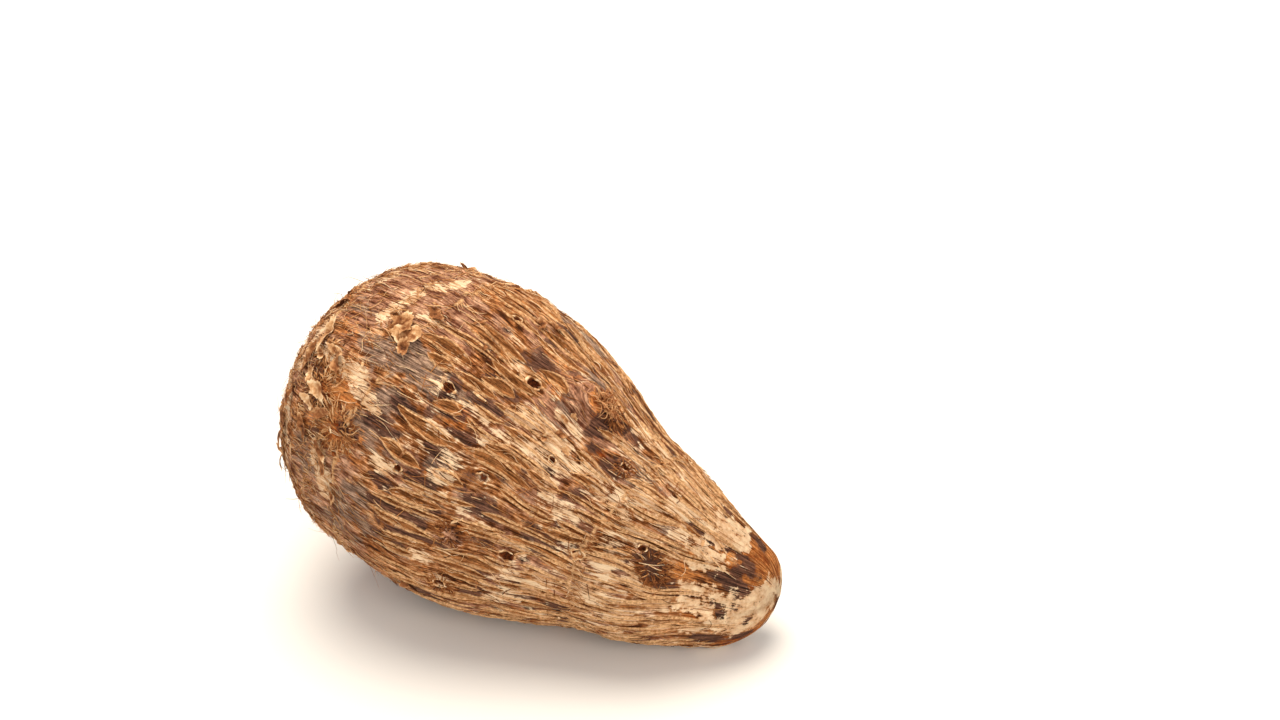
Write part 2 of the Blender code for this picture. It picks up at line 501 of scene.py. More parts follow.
SPLIT_LINES = 62                     # lines of splits around the corm
SPLIT_START, SPLIT_END = 0.40, 0.738  # the turns between which they lie
SPLIT_LENGTHS = (6, 17)              # mm
SPLIT_HALF_WIDTHS = (0.9, 2.3)       # degrees around the corm
SPLIT_BOW, SPLIT_TILT = 0.9, 0.8     # mm, the most that its middle and its ends stand off the grain
SPLIT_REACH = 0.28                   # radians around the corm within which a split marks the skin
LEFT_WHOLE = 0.12                    # share of the splits left out
LONG_FROM, LONG_GAIN = 0.55, 1.25    # past this turn the splits are longer, by this much
LIP_RISE, TROUGH_DEPTH = 0.36, 0.5   # mm
LIP_SPREAD, LIP_OUT = 0.33 * MM, 0.1 * MM  # how wide a lip is, and how far outside its trough's edge

# Places on buds and fuzzy scars where the skin has no splits: (turn, degrees, radius)
BARE_SPOTS = (
    (0.574, 90, 5.4 * MM),
    (0.505, 173, 2.6 * MM),
    (0.733, 151, 3.2 * MM),
    (0.650, 103, 2.2 * MM),
    (0.610, 312, 4.4 * MM),
    (0.420, 15, 3.4 * MM),
    (0.720, 22, 3.0 * MM),
)


def splits():
    """Lens-shaped splits in staggered lines, which leave the bare spots free.

    Each is its middle's distance, the angle that it holds, half length, half width, bow, tilt and depth.
    """
    rng = np.random.default_rng(7)
    made = []
    for line in range(SPLIT_LINES):
        held = (line + rng.uniform(-0.25, 0.25)) * TAU / SPLIT_LINES
        at = skin_distance(SPLIT_START + rng.uniform(-0.03, 0.03)) + rng.uniform(0, 8) * MM
        end = skin_distance(SPLIT_END + rng.uniform(-0.04, 0.03))
        while at < end:
            length = rng.uniform(*SPLIT_LENGTHS) * MM * (1.0 if at < skin_distance(LONG_FROM) else LONG_GAIN)
            radius = float(spine(turn_at(at + length / 2))[0])
            width = radius * math.radians(rng.uniform(*SPLIT_HALF_WIDTHS))
            bow = rng.uniform(-SPLIT_BOW, SPLIT_BOW) * MM
            tilt = rng.uniform(-SPLIT_TILT, SPLIT_TILT) * MM
            bare = any(abs(at + length / 2 - skin_distance(turn)) < length / 3 + spot
                       and abs(radius * wrapped(held - math.radians(degrees))) < spot
                       for turn, degrees, spot in BARE_SPOTS)
            if rng.uniform() > LEFT_WHOLE and not bare:
                made.append((at + length / 2, held, length / 2, width, bow, tilt, rng.uniform(0.5, 1.0)))
            at += length * rng.uniform(0.86, 1.1) + rng.uniform(0, 2.0) * MM
    return np.array(made)


def near_rows(low, high):
    """The rows of the grid between two distances."""
    return slice(int(np.searchsorted(DISTANCE[:, 0], low)), int(np.searchsorted(DISTANCE[:, 0], high)))


def near_columns(angle, reach):
    """The columns of the grid within reach of an angle, wrapped round."""
    middle, spread = angle / TAU * COLUMNS, reach / TAU * COLUMNS
    return np.arange(int(middle - spread), int(middle + spread) + 1) % COLUMNS


def raggedness(distance, held):
    """How much wider or narrower a split is than its lens, as a share: its edges waver over 2 to 4 mm."""
    return (1 + 0.3 * grain(distance, held, 3.6 * MM, 92, 15)
            + 0.16 * grain(distance, held, 1.7 * MM, 184, 16))


def split_marks(made):
    """Height and masks of the splits on the grid: a trough between two raised lips, closing at its ends.

    The trough is 1 - (across / width)^2, and a lip is a bell curve just outside the trough's edge.
    """
    height = np.zeros((ROWS + 1, COLUMNS))
    lips = np.zeros_like(height)
    troughs = np.zeros_like(height)
    for middle, held, half_length, half_width, bow, tilt, depth in made:
        rows = near_rows(middle - half_length, middle + half_length)
        columns = near_columns(held, SPLIT_REACH)
        if rows.stop <= rows.start:
            continue
        x = (DISTANCE[rows] - middle) / half_length
        close = np.clip(1 - x ** 2, 0, 1)
        angle = GRAIN_ANGLE[rows][:, columns]
        across = RADIUS[rows] * wrapped(angle - held) - bow * (1 - x ** 2) - tilt * x
        width = half_width * close ** 0.6 * raggedness(DISTANCE[rows], angle) + 0.05 * MM
        trough = np.clip(1 - (across / width) ** 2, 0, 1) * close ** 0.3
        lip = np.exp(-((np.abs(across) - width - LIP_OUT) / LIP_SPREAD) ** 2) * close ** 0.5
        block = np.ix_(np.arange(rows.start, rows.stop), columns)
        height[block] += (LIP_RISE * lip - TROUGH_DEPTH * depth * trough) * MM
        lips[block] = np.maximum(lips[block], lip)
        troughs[block] = np.maximum(troughs[block], trough)
    return height, lips, troughs


def bare_marks():
    """Where buds and fuzzy scars keep their own skin: 1 on each bare spot, fading at its edge."""
    bare = np.zeros((ROWS + 1, COLUMNS))
    for turn, degrees, radius in BARE_SPOTS:
        away = np.hypot(DISTANCE - skin_distance(turn), RADIUS * wrapped(ANGLE - math.radians(degrees)))
        bare = np.maximum(bare, 1 - fade(away, 0.8 * radius, 1.25 * radius))
    return bare


SCAR_RIM = 0.45 * MM                 # how far a root scar's rim stands over the skin


def scar_marks():
    """Height and mask of the root scars: round pits with a low rim."""
    height = np.zeros((ROWS + 1, COLUMNS))
    pits = np.zeros_like(height)
    for turn, degrees, size, depth in ROOT_SCARS:
        along = DISTANCE - skin_distance(turn)
        across = RADIUS * wrapped(ANGLE - math.radians(degrees))
        ring = np.hypot(along, across) / size
        pit = 0.5 * (1 - np.tanh((ring - 0.85) * 4.5))
        rim = np.exp(-((ring - 1.25) / 0.3) ** 2)
        height += SCAR_RIM * rim - depth * pit
        # The pit mask grows with depth: the scar's own red-brown, plus painted shade that is darker in deeper
        # pits
        pits = np.maximum(pits, pit * min(1, depth / (0.8 * MM)))
    return height, pits


# The big bud's wrinkles: turn, degrees, reach and spacing
BUD_WRINKLES = (0.572, 90, 6.5 * MM, 1.35 * MM)
BUD_RING = 0.42 * MM                 # height of its wrinkles over and under their middle
BUD_MOUND = 1.5 * MM                 # how much its mound adds to the solid's own bud
CROWN_SCAR = 8 * MM                  # reach of the dried scar at the crown's pole
CROWN_DISH = 1.3 * MM                # its depth
CROWN_RIDGES = 2.1 * MM              # spacing of the ridges round it
CROWN_RIDGE = 0.45 * MM              # their height over and under their middle


def bud_marks():
    """Height of the big bud: a low mound with a steep edge, and uneven rings on it, lost near its tuft."""
    turn, degrees, reach, spacing = BUD_WRINKLES
    along = DISTANCE - skin_distance(turn)
    across = RADIUS * wrapped(ANGLE - math.radians(degrees))
    away = np.hypot(along, across) + 0.6 * MM * grain(DISTANCE, ANGLE, 3 * MM, 70, 61)
    rings = BUD_RING * np.cos(away / spacing * TAU) * np.exp(-(away / reach) ** 4)
    rings = rings * (1 - fade(along, 0, 3 * MM))
    return rings + BUD_MOUND * (1 - fade(away, 0.5 * reach, 0.85 * reach))


def crown_marks():
    """Height of the crown's dried leaf scar: a shallow dish, and ridges round it that die away outwards."""
    away = DISTANCE + 0.7 * MM * grain(DISTANCE + 30 * MM, ANGLE, 8 * MM, 14, 63)
    dish = CROWN_DISH * (fade(away, 0.35 * CROWN_SCAR, CROWN_SCAR) - 1)
    ridges = CROWN_RIDGE * np.cos(away / CROWN_RIDGES * TAU) * np.exp(-(away / (3 * CROWN_SCAR)) ** 2)
    return dish + ridges * fade(away, 0.3 * CROWN_SCAR, 0.8 * CROWN_SCAR)


# Rings left by old leaves: (turn, swing along the corm, rise, paleness)
LEAF_RINGS = (
    (0.120, 1.2 * MM, 0.70 * MM, 0.9),
    (0.165, 1.4 * MM, 0.70 * MM, 0.9),
    (0.205, 1.5 * MM, 0.60 * MM, 0.8),
    (0.235, 1.6 * MM, 0.80 * MM, 1.0),
    (0.285, 1.8 * MM, 0.45 * MM, 0.6),
    (0.318, 1.6 * MM, 0.50 * MM, 0.7),
    (0.362, 2.0 * MM, 0.70 * MM, 1.0),
    (0.452, 1.6 * MM, 0.15 * MM, 0.3),
    (0.545, 1.6 * MM, 0.20 * MM, 0.4),
    (0.653, 0.9 * MM, 0.40 * MM, 0.8),
    (0.790, 1.2 * MM, 0.20 * MM, 0.4),
)
RING_LEAN = 5 * MM                   # how far a ring leans to the tip on its high side
RING_HIGH_SIDE = math.radians(50)


def ring_place(number, angle):
    """Distance along the corm of a leaf ring at each angle: it leans, swings and wavers."""
    turn, swing = LEAF_RINGS[number][:2]
    place = skin_distance(turn) + 0 * angle
    wave = (grain(place, angle, 20 * MM, 11, 60 + number)
            + 0.4 * grain(place, angle, 20 * MM, 70, 80 + number))
    return place + RING_LEAN * np.cos(angle - RING_HIGH_SIDE) + swing * wave


def ring_marks():
    """Height and mask of the leaf rings: a ragged raised line with a groove behind it, lost in places."""
    height = np.zeros((ROWS + 1, COLUMNS))
    pale = np.zeros_like(height)
    for number, (_, _, rise, paleness) in enumerate(LEAF_RINGS):
        off = DISTANCE - ring_place(number, ANGLE)
        here = fade(grain(DISTANCE, ANGLE, 30 * MM, 17, 100 + number)
                    + 0.5 * grain(DISTANCE, ANGLE, 3 * MM, 90, 120), -0.6, 0.4)
        width = (0.5 + 0.35 * grain(DISTANCE, ANGLE, 2 * MM, 110, 140 + number)) * MM
        line = np.exp(-(off / width) ** 2) * here
        groove = np.exp(-((off + 0.9 * MM) / (0.4 * MM)) ** 2) * here
        height += rise * (line - 0.6 * groove)
        pale = np.maximum(pale, paleness * line)
    return height, pale


# ---------------------------------------------------------------- building the skin

# Turns between which one kind of skin gives way to another
CROWN_TO_BODY = (0.34, 0.45)
PLATES_BEGIN = (0.40, 0.46)          # the plates of skin between the splits
SMOOTH_TIP_BEGINS = (0.70, 0.80)
TIP_END_BEGINS = (0.74, 0.78)        # the pale skin of the tip's own end
STREAK_HEIGHT, LUMP_HEIGHT = 0.26 * MM, 0.4 * MM


def patches(points, marks, seed):
    """Soft-edged patches: the strength fades over the edge of an ellipse whose outline is roughened."""
    total = np.zeros((ROWS + 1, COLUMNS))
    rough = 0.55 * cloud(points, 2.6 * MM, seed) + 0.35 * cloud(points, 1.2 * MM, seed + 1)
    for turn, degrees, half_length, half_width, strength in marks:
        along = (DISTANCE - skin_distance(turn)) / (half_length * MM)
        across = RADIUS * wrapped(GRAIN_ANGLE - math.radians(degrees)) / (half_width * MM)
        inside = strength * np.clip(1.35 - np.hypot(along, across) * 0.85 + rough * 0.6, 0, 1)
        total = np.maximum(total, inside)
    return np.clip(total, 0, 1)


def ground_masks(points, plates, smooth_tip):
    """Where the ground is cream, dark and rust: placed patches, and clouds on the plates and smooth tip."""
    cream, dark, rust = (patches(points, marks, seed) for marks, seed in
                         ((CREAM_PATCHES, 31), (DARK_PATCHES, 33), (RUST_PATCHES, 35)))
    placed = fade(np.maximum(dark, rust), 0.25, 0.5)
    tip_cream, tip_dark, tip_rust = (smooth_tip * np.clip(level + 0.55 * clouds(points, 4 * MM, seed), 0, 1)
                                     for level, seed in ((0.84, 41), (0.14, 43), (0.28, 45)))
    levels = ((0.10 + 0.2 * fade(TURN, 0.56, 0.72), 47),
              (0.28 - 0.1 * fade(TURN, 0.6, 0.72), 49),
              (0.16, 51))
    plate_cream, plate_dark, plate_rust = (
        plates * np.clip(level + 0.42 * clouds(points, 5.5 * MM, seed), 0, 1) for level, seed in levels)
    open_ground = 1 - np.clip(cream * 1.6, 0, 1)
    dark = np.maximum(dark, np.maximum(tip_dark, plate_dark) * open_ground)
    rust = np.maximum(rust, np.maximum(tip_rust, plate_rust) * open_ground)
    tip_cream = tip_cream * (1 - fade(np.maximum(tip_dark, tip_rust), 0.45, 0.65))
    return np.maximum(cream, np.maximum(tip_cream, plate_cream) * (1 - placed)), dark, rust


def age_masks(points, plates):
    """Where the skin is slate and mauve: the placed patches, the whole crown, and clouds on the plates."""
    crown = 1 - fade(TURN, *CROWN_TO_BODY) + 0 * ANGLE
    plate_slate = plates * np.clip(0.16 + 0.4 * clouds(points, 8 * MM, 53), 0, 1)
    plate_mauve = plates * np.clip(0.3 + 0.4 * clouds(points, 8 * MM, 55), 0, 1)
    crown_mauve = crown * np.clip(0.45 + 0.3 * clouds(points, 9 * MM, 57), 0, 1)
    return (np.maximum(patches(points, SLATE_PATCHES, 37), plate_slate),
            np.maximum(patches(points, MAUVE_PATCHES, 39), np.maximum(plate_mauve, crown_mauve)))


def skin_surface():
    """The corm's form with every mark raised on it, and the masks that colour it."""
    base = corm_form(TURN, ANGLE)
    normal = outward(base)
    made = splits()
    height, lips, troughs = split_marks(made)
    scar_height, pits = scar_marks()
    ring_height, ring_lips = ring_marks()
    open_skin = 1 - np.clip(pits * 1.5, 0, 1)
    lips = np.maximum(lips, ring_lips)
    smooth_tip = fade(TURN, *SMOOTH_TIP_BEGINS) + 0 * ANGLE
    plates = fade(TURN, *PLATES_BEGIN) * (1 - fade(TURN, *SMOOTH_TIP_BEGINS)) * (1 - bare_marks())
    streaks = (0.55 * grain(DISTANCE, GRAIN_ANGLE, 9 * MM, 130, 21)
               + 0.45 * grain(DISTANCE, GRAIN_ANGLE, 5 * MM, 230, 22))
    lumps = (0.6 * grain(DISTANCE, GRAIN_ANGLE, 12 * MM, 24, 23)
             + 0.4 * grain(DISTANCE, GRAIN_ANGLE, 5 * MM, 60, 24))
    height = (height + ring_height) * open_skin + scar_height
    height += STREAK_HEIGHT * streaks * (1 - 0.7 * smooth_tip) + LUMP_HEIGHT * lumps
    height += bud_marks()
    height *= np.clip(np.sin(math.pi * DISTANCE / SKIN_LENGTH) * 5, 0, 1)
    height += crown_marks()
    points = base + normal * height[..., None]
    points[..., 2] = np.maximum(points[..., 2], 0)
    cream, dark, rust = ground_masks(base, plates, smooth_tip)
    slate, mauve = age_masks(base, plates)
    smooth_end = fade(TURN, *TIP_END_BEGINS)
    masks = {
        "split": np.stack((lips * open_skin, troughs * open_skin, pits), axis=-1),
        "ground": np.stack((cream * (1 - smooth_end), dark, rust), axis=-1),
        "age": np.stack((slate, mauve, np.minimum(cream, 0.8) * smooth_end), axis=-1),
    }
    return base, normal, points, outward(points), masks, made


BASE, BASE_NORMAL, POINTS, NORMAL, MASKS, SPLITS = skin_surface()
FLOW_RADIUS = 37 * MM                # the grain's own radius, the same all along, so that it closes on itself


def flow(distance, angle):
    """A place in the grain's own space: distance along, and the angle held as a point on a circle."""
    return np.stack((distance + 0 * angle, FLOW_RADIUS * np.cos(angle), FLOW_RADIUS * np.sin(angle)), axis=-1)


def put_mesh(name, points, faces, material):
    """A smooth-shaded object at the origin, of one material, from arrays of points and faces."""
    mesh = bpy.data.meshes.new(name)
    mesh.from_pydata(points.reshape(-1, 3).tolist(), [], faces)
    mesh.validate()
    mesh.shade_smooth()
    mesh.materials.append(material)
    thing = bpy.data.objects.new(name, mesh)
    bpy.context.scene.collection.objects.link(thing)
    return thing


def put_colours(thing, name, values):
    """Stores three shares at each point, as a colour attribute."""
    values = values.reshape(-1, 3)
    four = np.concatenate((values, np.ones((len(values), 1))), axis=1)
    layer = thing.data.color_attributes.new(name, "FLOAT_COLOR", "POINT")
    layer.data.foreach_set("color", four.astype(np.float32).ravel())


def put_vectors(thing, name, values):
    """Stores a vector at each point."""
    layer = thing.data.attributes.new(name, "FLOAT_VECTOR", "POINT")
    layer.data.foreach_set("vector", values.reshape(-1, 3).astype(np.float32).ravel())


def put_shades(thing, shade):
    """Stores each point's shade, which the fibres' and the old skin's materials read."""
    layer = thing.data.attributes.new("shade", "FLOAT", "POINT")
    layer.data.foreach_set("value", shade.astype(np.float32).ravel())


MAP_SIZE, MAP_MARGIN = 0.998, 0.001  # the baking map keeps off the edges of its square


def put_map(thing, across, up):
    """The baking map: a place on a square for each corner, from its point's two shares.

    A face that spans the seam, where the share round the corm falls from 1 to 0, is laid out past 1.
    """
    loops = len(thing.data.loops)
    faces = len(thing.data.polygons)
    corners = np.empty(loops, dtype=np.int32)
    thing.data.loops.foreach_get("vertex_index", corners)
    counts = np.empty(faces, dtype=np.int32)
    thing.data.polygons.foreach_get("loop_total", counts)
    face = np.repeat(np.arange(faces), counts)
    u, w = across.ravel()[corners], up.ravel()[corners]
    widest = np.zeros(faces)
    np.maximum.at(widest, face, u)
    u = np.where(widest[face] - u > 0.5, u + 1, u)
    places = np.stack((u, w), axis=-1) * MAP_SIZE + MAP_MARGIN
    layer = thing.data.uv_layers.new(name="OFBake")
    layer.data.foreach_set("uv", places.astype(np.float32).ravel())


def belts(near, far, sides):
    """Quads between pairs of rings, facing out: a ring is given by the number of its first point."""
    side = np.arange(sides)
    beside = (side + 1) % sides
    quads = np.stack((near + side, near + beside, far + beside, far + side), axis=-1)
    return quads.reshape(-1, 4).tolist()


def skin_faces():
    """Quads between the rows, and a fan at each pole, all facing out."""
    column = np.arange(COLUMNS)
    beside = (column + 1) % COLUMNS
    row = 1 + np.arange(ROWS - 2)[:, None] * COLUMNS
    last = 1 + (ROWS - 2) * COLUMNS
    tip = last + COLUMNS
    crown_fan = np.stack((0 * column, 1 + beside, 1 + column), axis=-1)
    tip_fan = np.stack((tip + 0 * column, last + column, last + beside), axis=-1)
    return belts(row, row + COLUMNS, COLUMNS) + crown_fan.tolist() + tip_fan.tolist()


def flat_rows(grid):
    """The grid's values in the order of the mesh's points: one for each pole, and the rows between."""
    tail = grid.shape[2:]
    return np.concatenate((grid[:1, :1].reshape((1,) + tail), grid[1:-1].reshape((-1,) + tail),
                           grid[-1:, :1].reshape((1,) + tail)))


def make_skin(material):
    """The skin's mesh, with its masks, the grain's space and the baking map."""
    skin = put_mesh("corm_skin", flat_rows(POINTS), skin_faces(), material)
    for name, values in MASKS.items():
        put_colours(skin, name, flat_rows(values))
    put_vectors(skin, "flow", flat_rows(flow(DISTANCE, GRAIN_ANGLE)))
    share_round = (ANGLE / TAU + 0 * DISTANCE)[..., None]
    share_along = (DISTANCE / SKIN_LENGTH + 0 * ANGLE)[..., None]
    put_map(skin, flat_rows(share_round), flat_rows(share_along))
    return skin


# ---------------------------------------------------------------- strips and strands

def look_up(grid, distance, angle):
    """A grid's values at places between its points, blended from the four round each."""
    x = np.clip(distance / SKIN_LENGTH, 0, 1) * ROWS
    y = (angle / TAU % 1) * COLUMNS
    i = np.minimum(np.floor(x).astype(int), ROWS - 1)
    j = np.floor(y).astype(int)
    f, g = (x - i)[..., None], (y - j)[..., None]
    near, far = j % COLUMNS, (j + 1) % COLUMNS
    return ((grid[i, near] * (1 - g) + grid[i, far] * g) * (1 - f)
            + (grid[i + 1, near] * (1 - g) + grid[i + 1, far] * g) * f)


def over_skin(distance, angle, lift):
    """Points that stand off the skin by lift, at places given by distance along it and angle round it."""
    return look_up(POINTS, distance, angle) + look_up(NORMAL, distance, angle) * lift[..., None]


def swept_faces(count, stations, sides):
    """Faces of many swept strips: quads between neighbouring rings, and a cap at each end."""
    start = (np.arange(count) * stations * sides)[:, None, None]
    near = start + (np.arange(stations - 1) * sides)[None, :, None]
    first = start[:, 0] + np.arange(sides)[::-1]
    last = start[:, 0] + (stations - 1) * sides + np.arange(sides)
    return belts(near, near + sides, sides) + first.tolist() + last.tolist()


def ring_faces(count, stations, sides):
    """Faces of many closed rings: quads between neighbouring sections, the last joined to the first."""
    start = (np.arange(count) * stations * sides)[:, None, None]
    station = np.arange(stations)
    near, far = (start + (step * sides)[None, :, None] for step in (station, np.roll(station, -1)))
    return belts(near, far, sides)


LIP_STATIONS = 12                    # sections along a lip
LIP_CREST = (0.2, 0.32)              # mm, the least that its crest stands up, and how much more it may
LIP_REACH = (0.4, 0.3)               # mm, the same for how far its outer edge is from the trough
LIP_ROOT = 0.1 * MM                  # how deep its outer edge is sunk in the skin
LIP_INNER, LIP_INNER_DEPTH = 0.72, 0.25 * MM  # its inner edge: share of the trough's width, and depth


def make_lips(material):
    """The torn edges of the splits.

    Each edge is a three-sided strip along the side of its lens.  Its outer edge is sunk in the skin, its
    crest stands over the trough, and its inner edge goes down into it.  It thins out at the lens's ends.
    """
    rng = np.random.default_rng(51)
    middle, held, half_length, half_width, bow, tilt, _ = (column[:, None, None] for column in SPLITS.T)
    side = np.array([-1.0, 1.0])[None, :, None]
    x = np.linspace(-0.97, 0.97, LIP_STATIONS)[None, None, :]
    close = 1 - x ** 2
    ragged = rng.uniform(-1, 1, (len(SPLITS), 2, LIP_STATIONS))
    rise = LIP_CREST[0] + LIP_CREST[1] * rng.uniform(0, 1, (len(SPLITS), 2, 1))
    rise = rise * MM * close ** 0.5 * (1 + 0.3 * ragged)
    out = LIP_REACH[0] + LIP_REACH[1] * rng.uniform(0, 1, (len(SPLITS), 2, 1))
    out = out * MM * close ** 0.3
    distance = np.broadcast_to(middle + x * half_length, ragged.shape)
    radius = np.maximum(spine(turn_at(distance))[0], 1 * MM)
    line = bow * close + tilt * x
    lens = half_width * close ** 0.6
    width = lens * raggedness(distance, held + (line + side * lens) / radius)
    places, angles = [], []
    for offset, lift in ((width + out, -LIP_ROOT), (width + 0.02 * MM * ragged, rise),
                         (width * LIP_INNER, -LIP_INNER_DEPTH)):
        held_here = held + (line + side * offset) / radius
        angle = skin_angle(distance, np.broadcast_to(held_here, ragged.shape))
        places.append(over_skin(distance, angle, lift + 0 * distance))
        angles.append(angle)
    place = np.stack(places, axis=-2)
    angle = np.stack(angles, axis=-1)
    place[:, 1] = place[:, 1, :, ::-1]
    angle[:, 1] = angle[:, 1, :, ::-1]
    place[..., 2] = np.maximum(place[..., 2], 0)
    lips = put_mesh("split_lips", place, swept_faces(2 * len(SPLITS), LIP_STATIONS, 3), material)
    lips.data.set_sharp_from_angle(angle=math.radians(40))
    far = np.repeat(distance[..., None], 3, axis=-1)
    crest = np.zeros(far.shape)
    crest[..., 1] = 1
    # The inner edge takes most of the trough mask: the trough's ochre, and part of the painted shade of its
    # deep middle
    inner = np.zeros(far.shape)
    inner[:, 0, :, 2] = 0.8
    inner[:, 1, :, 0] = 0.8
    put_colours(lips, "split", np.stack((0.1 + 0.9 * crest, inner, 0 * crest), axis=-1))
    put_colours(lips, "ground", look_up(MASKS["ground"], far, angle))
    put_colours(lips, "age", look_up(MASKS["age"], far, angle))
    put_vectors(lips, "flow", flow(far, grain_angle(far, angle)))
    put_map(lips, angle / TAU % 1, far / SKIN_LENGTH)
    return lips


STRAND_STATIONS = 7                  # sections along a strand
STRAND_SHARE = np.linspace(0, 1, STRAND_STATIONS)
STRAND_TAPER = 0.75                  # how much of its thickness a strand has lost at its far end
SHADE_DRIFT = 0.15                   # how much paler it is there than at its start


def trail(distance, angle, heading, length, curl, rng):
    """Paths over the skin: from each start, a heading off the grain that turns steadily and wavers."""
    count = len(distance)
    swing = rng.uniform(-1, 1, (count, 1))
    waver = swing * np.sin(STRAND_SHARE * rng.uniform(4, 9, (count, 1)) + rng.uniform(0, 6, (count, 1)))
    way = heading[:, None] + curl[:, None] * (STRAND_SHARE - 0.3) + 0.5 * np.abs(curl[:, None]) * waver
    step = length[:, None] / (STRAND_STATIONS - 1)
    along = distance[:, None] + np.cumsum(np.cos(way) * step, axis=1)
    along = np.clip(along, 0.5 * MM, SKIN_LENGTH - 0.5 * MM)
    radius = np.maximum(spine(turn_at(along))[0], 2 * MM)
    around = angle[:, None] + np.cumsum(np.sin(way) * step / radius, axis=1)
    return along, around


def make_strands(name, along, around, lift, thickness, shade, material):
    """Three-sided strands along paths over the skin, lifted off it, thinning towards their far end."""
    path = over_skin(along, around, lift)
    path[..., 2] = np.maximum(path[..., 2], thickness[:, None])
    tangent = np.gradient(path, axis=1)
    tangent /= np.maximum(np.linalg.norm(tangent, axis=-1, keepdims=True), 1e-9)
    side = np.cross(tangent, look_up(NORMAL, along, around))
    side /= np.maximum(np.linalg.norm(side, axis=-1, keepdims=True), 1e-9)
    over = np.cross(side, tangent)
    radius = (thickness[:, None] * (1 - STRAND_TAPER * STRAND_SHARE ** 2))[..., None, None]
    turns = (-np.arange(3) * TAU / 3)[:, None]
    section = np.cos(turns) * side[:, :, None, :] + np.sin(turns) * over[:, :, None, :]
    rings = path[:, :, None, :] + radius * section
    rings[..., 2] = np.maximum(rings[..., 2], 0)
    strands = put_mesh(name, rings, swept_faces(len(path), STRAND_STATIONS, 3), material)
    own = np.clip(shade[:, None, None] + SHADE_DRIFT * (STRAND_SHARE[None, :, None] - 0.5), 0, 1)
    own = np.broadcast_to(own, rings.shape[:3])
    put_shades(strands, own)
    put_map(strands, own * 0.45, np.broadcast_to(STRAND_SHARE[None, :, None], own.shape))
    return strands


def make_skin_fibres(material):
    """Loose fibres lying along the grain all over the old skin, most of them near the crown."""
    rng = np.random.default_rng(71)
    count = 3600
    turn = 0.05 + 0.75 * rng.beta(1.3, 1.7, count)
    angle = rng.uniform(0, TAU, count)
    cross = rng.uniform(0, 1, count) < 0.16
    heading = np.where(cross, rng.uniform(-1.5, 1.5, count), rng.normal(0, 0.16, count))
    length = rng.uniform(2, 7, count) * MM
    along, around = trail(skin_distance(turn), angle, heading, length, rng.normal(0, 0.6, count), rng)
    peak = rng.uniform(0.0, 0.35, (count, 1)) * MM
    lift = 0.03 * MM + peak * np.sin(math.pi * STRAND_SHARE ** rng.uniform(0.6, 1.6, (count, 1)))
    thickness = rng.uniform(0.06, 0.15, count) * MM
    shade = rng.uniform(0.1, 1.0, count)
    return make_strands("skin_fibres", along, around, lift, thickness, shade, material)


def make_crown_hairs(material):
    """Thin curly hairs of old leaf bases, which stand off the crown and show against its outline."""
    rng = np.random.default_rng(73)
    count = 1900
    turn = 0.02 + 0.35 * rng.uniform(0, 1, count) ** 0.8
    heading = rng.normal(0, 0.8, count) + np.where(rng.uniform(0, 1, count) < 0.5, 0, math.pi)
    length = rng.uniform(2.5, 8, count) * MM
    along, around = trail(skin_distance(turn), rng.uniform(0, TAU, count), heading, length,
                          rng.normal(0, 2.2, count), rng)
    height = rng.gamma(1.4, 0.55, (count, 1)) * MM
    lift = np.minimum(height * STRAND_SHARE ** 1.3 - 0.05 * MM, 3.5 * MM)
    thickness = rng.uniform(0.04, 0.09, count) * MM
    shade = rng.uniform(0.15, 0.9, count)
    return make_strands("crown_hairs", along, around, lift, thickness, shade, material)


def make_ring_fringes(material):
    """Short frayed fibres along the paler leaf rings, pointing to the tip."""
    rng = np.random.default_rng(75)
    each = 300
    paths = []
    for number, (_, _, _, paleness) in enumerate(LEAF_RINGS):
        if paleness > 0.55:
            angle = rng.uniform(0, TAU, each)
            start = ring_place(number, angle) + rng.uniform(-0.8, 0.2, each) * MM
            paths.append(trail(start, angle, rng.normal(0, 0.6, each), rng.uniform(1.2, 4.0, each) * MM,
                               rng.normal(0, 0.9, each), rng))
    along, around = (np.concatenate(part) for part in zip(*paths))
    count = len(along)
    lift = 0.05 * MM + rng.uniform(0.05, 0.7, (count, 1)) * MM * STRAND_SHARE
    thickness = rng.uniform(0.06, 0.14, count) * MM
    shade = rng.uniform(0.35, 1.0, count)
    return make_strands("ring_fringes", along, around, lift, thickness, shade, material)


# Tufts of fibres: (turn, degrees, radius, fibres, shade)
TUFTS = (
    (0.597, 84, 3.3 * MM, 110, 0.24),
    (0.505, 173, 2.6 * MM, 90, 0.28),
    (0.730, 150, 3.6 * MM, 80, 0.25),
    (0.650, 104, 2.2 * MM, 50, 0.3),
    (0.300, 146, 4.0 * MM, 90, 0.6),
    (0.275, 132, 3.4 * MM, 70, 0.55),
    (0.485, 201, 3.0 * MM, 100, 0.35),
    (0.345, 156, 5.0 * MM, 170, 0.55),
    (0.615, 310, 4.2 * MM, 220, 0.25),
    (0.420, 15, 3.4 * MM, 140, 0.3),
    (0.720, 22, 3.0 * MM, 100, 0.25),
)


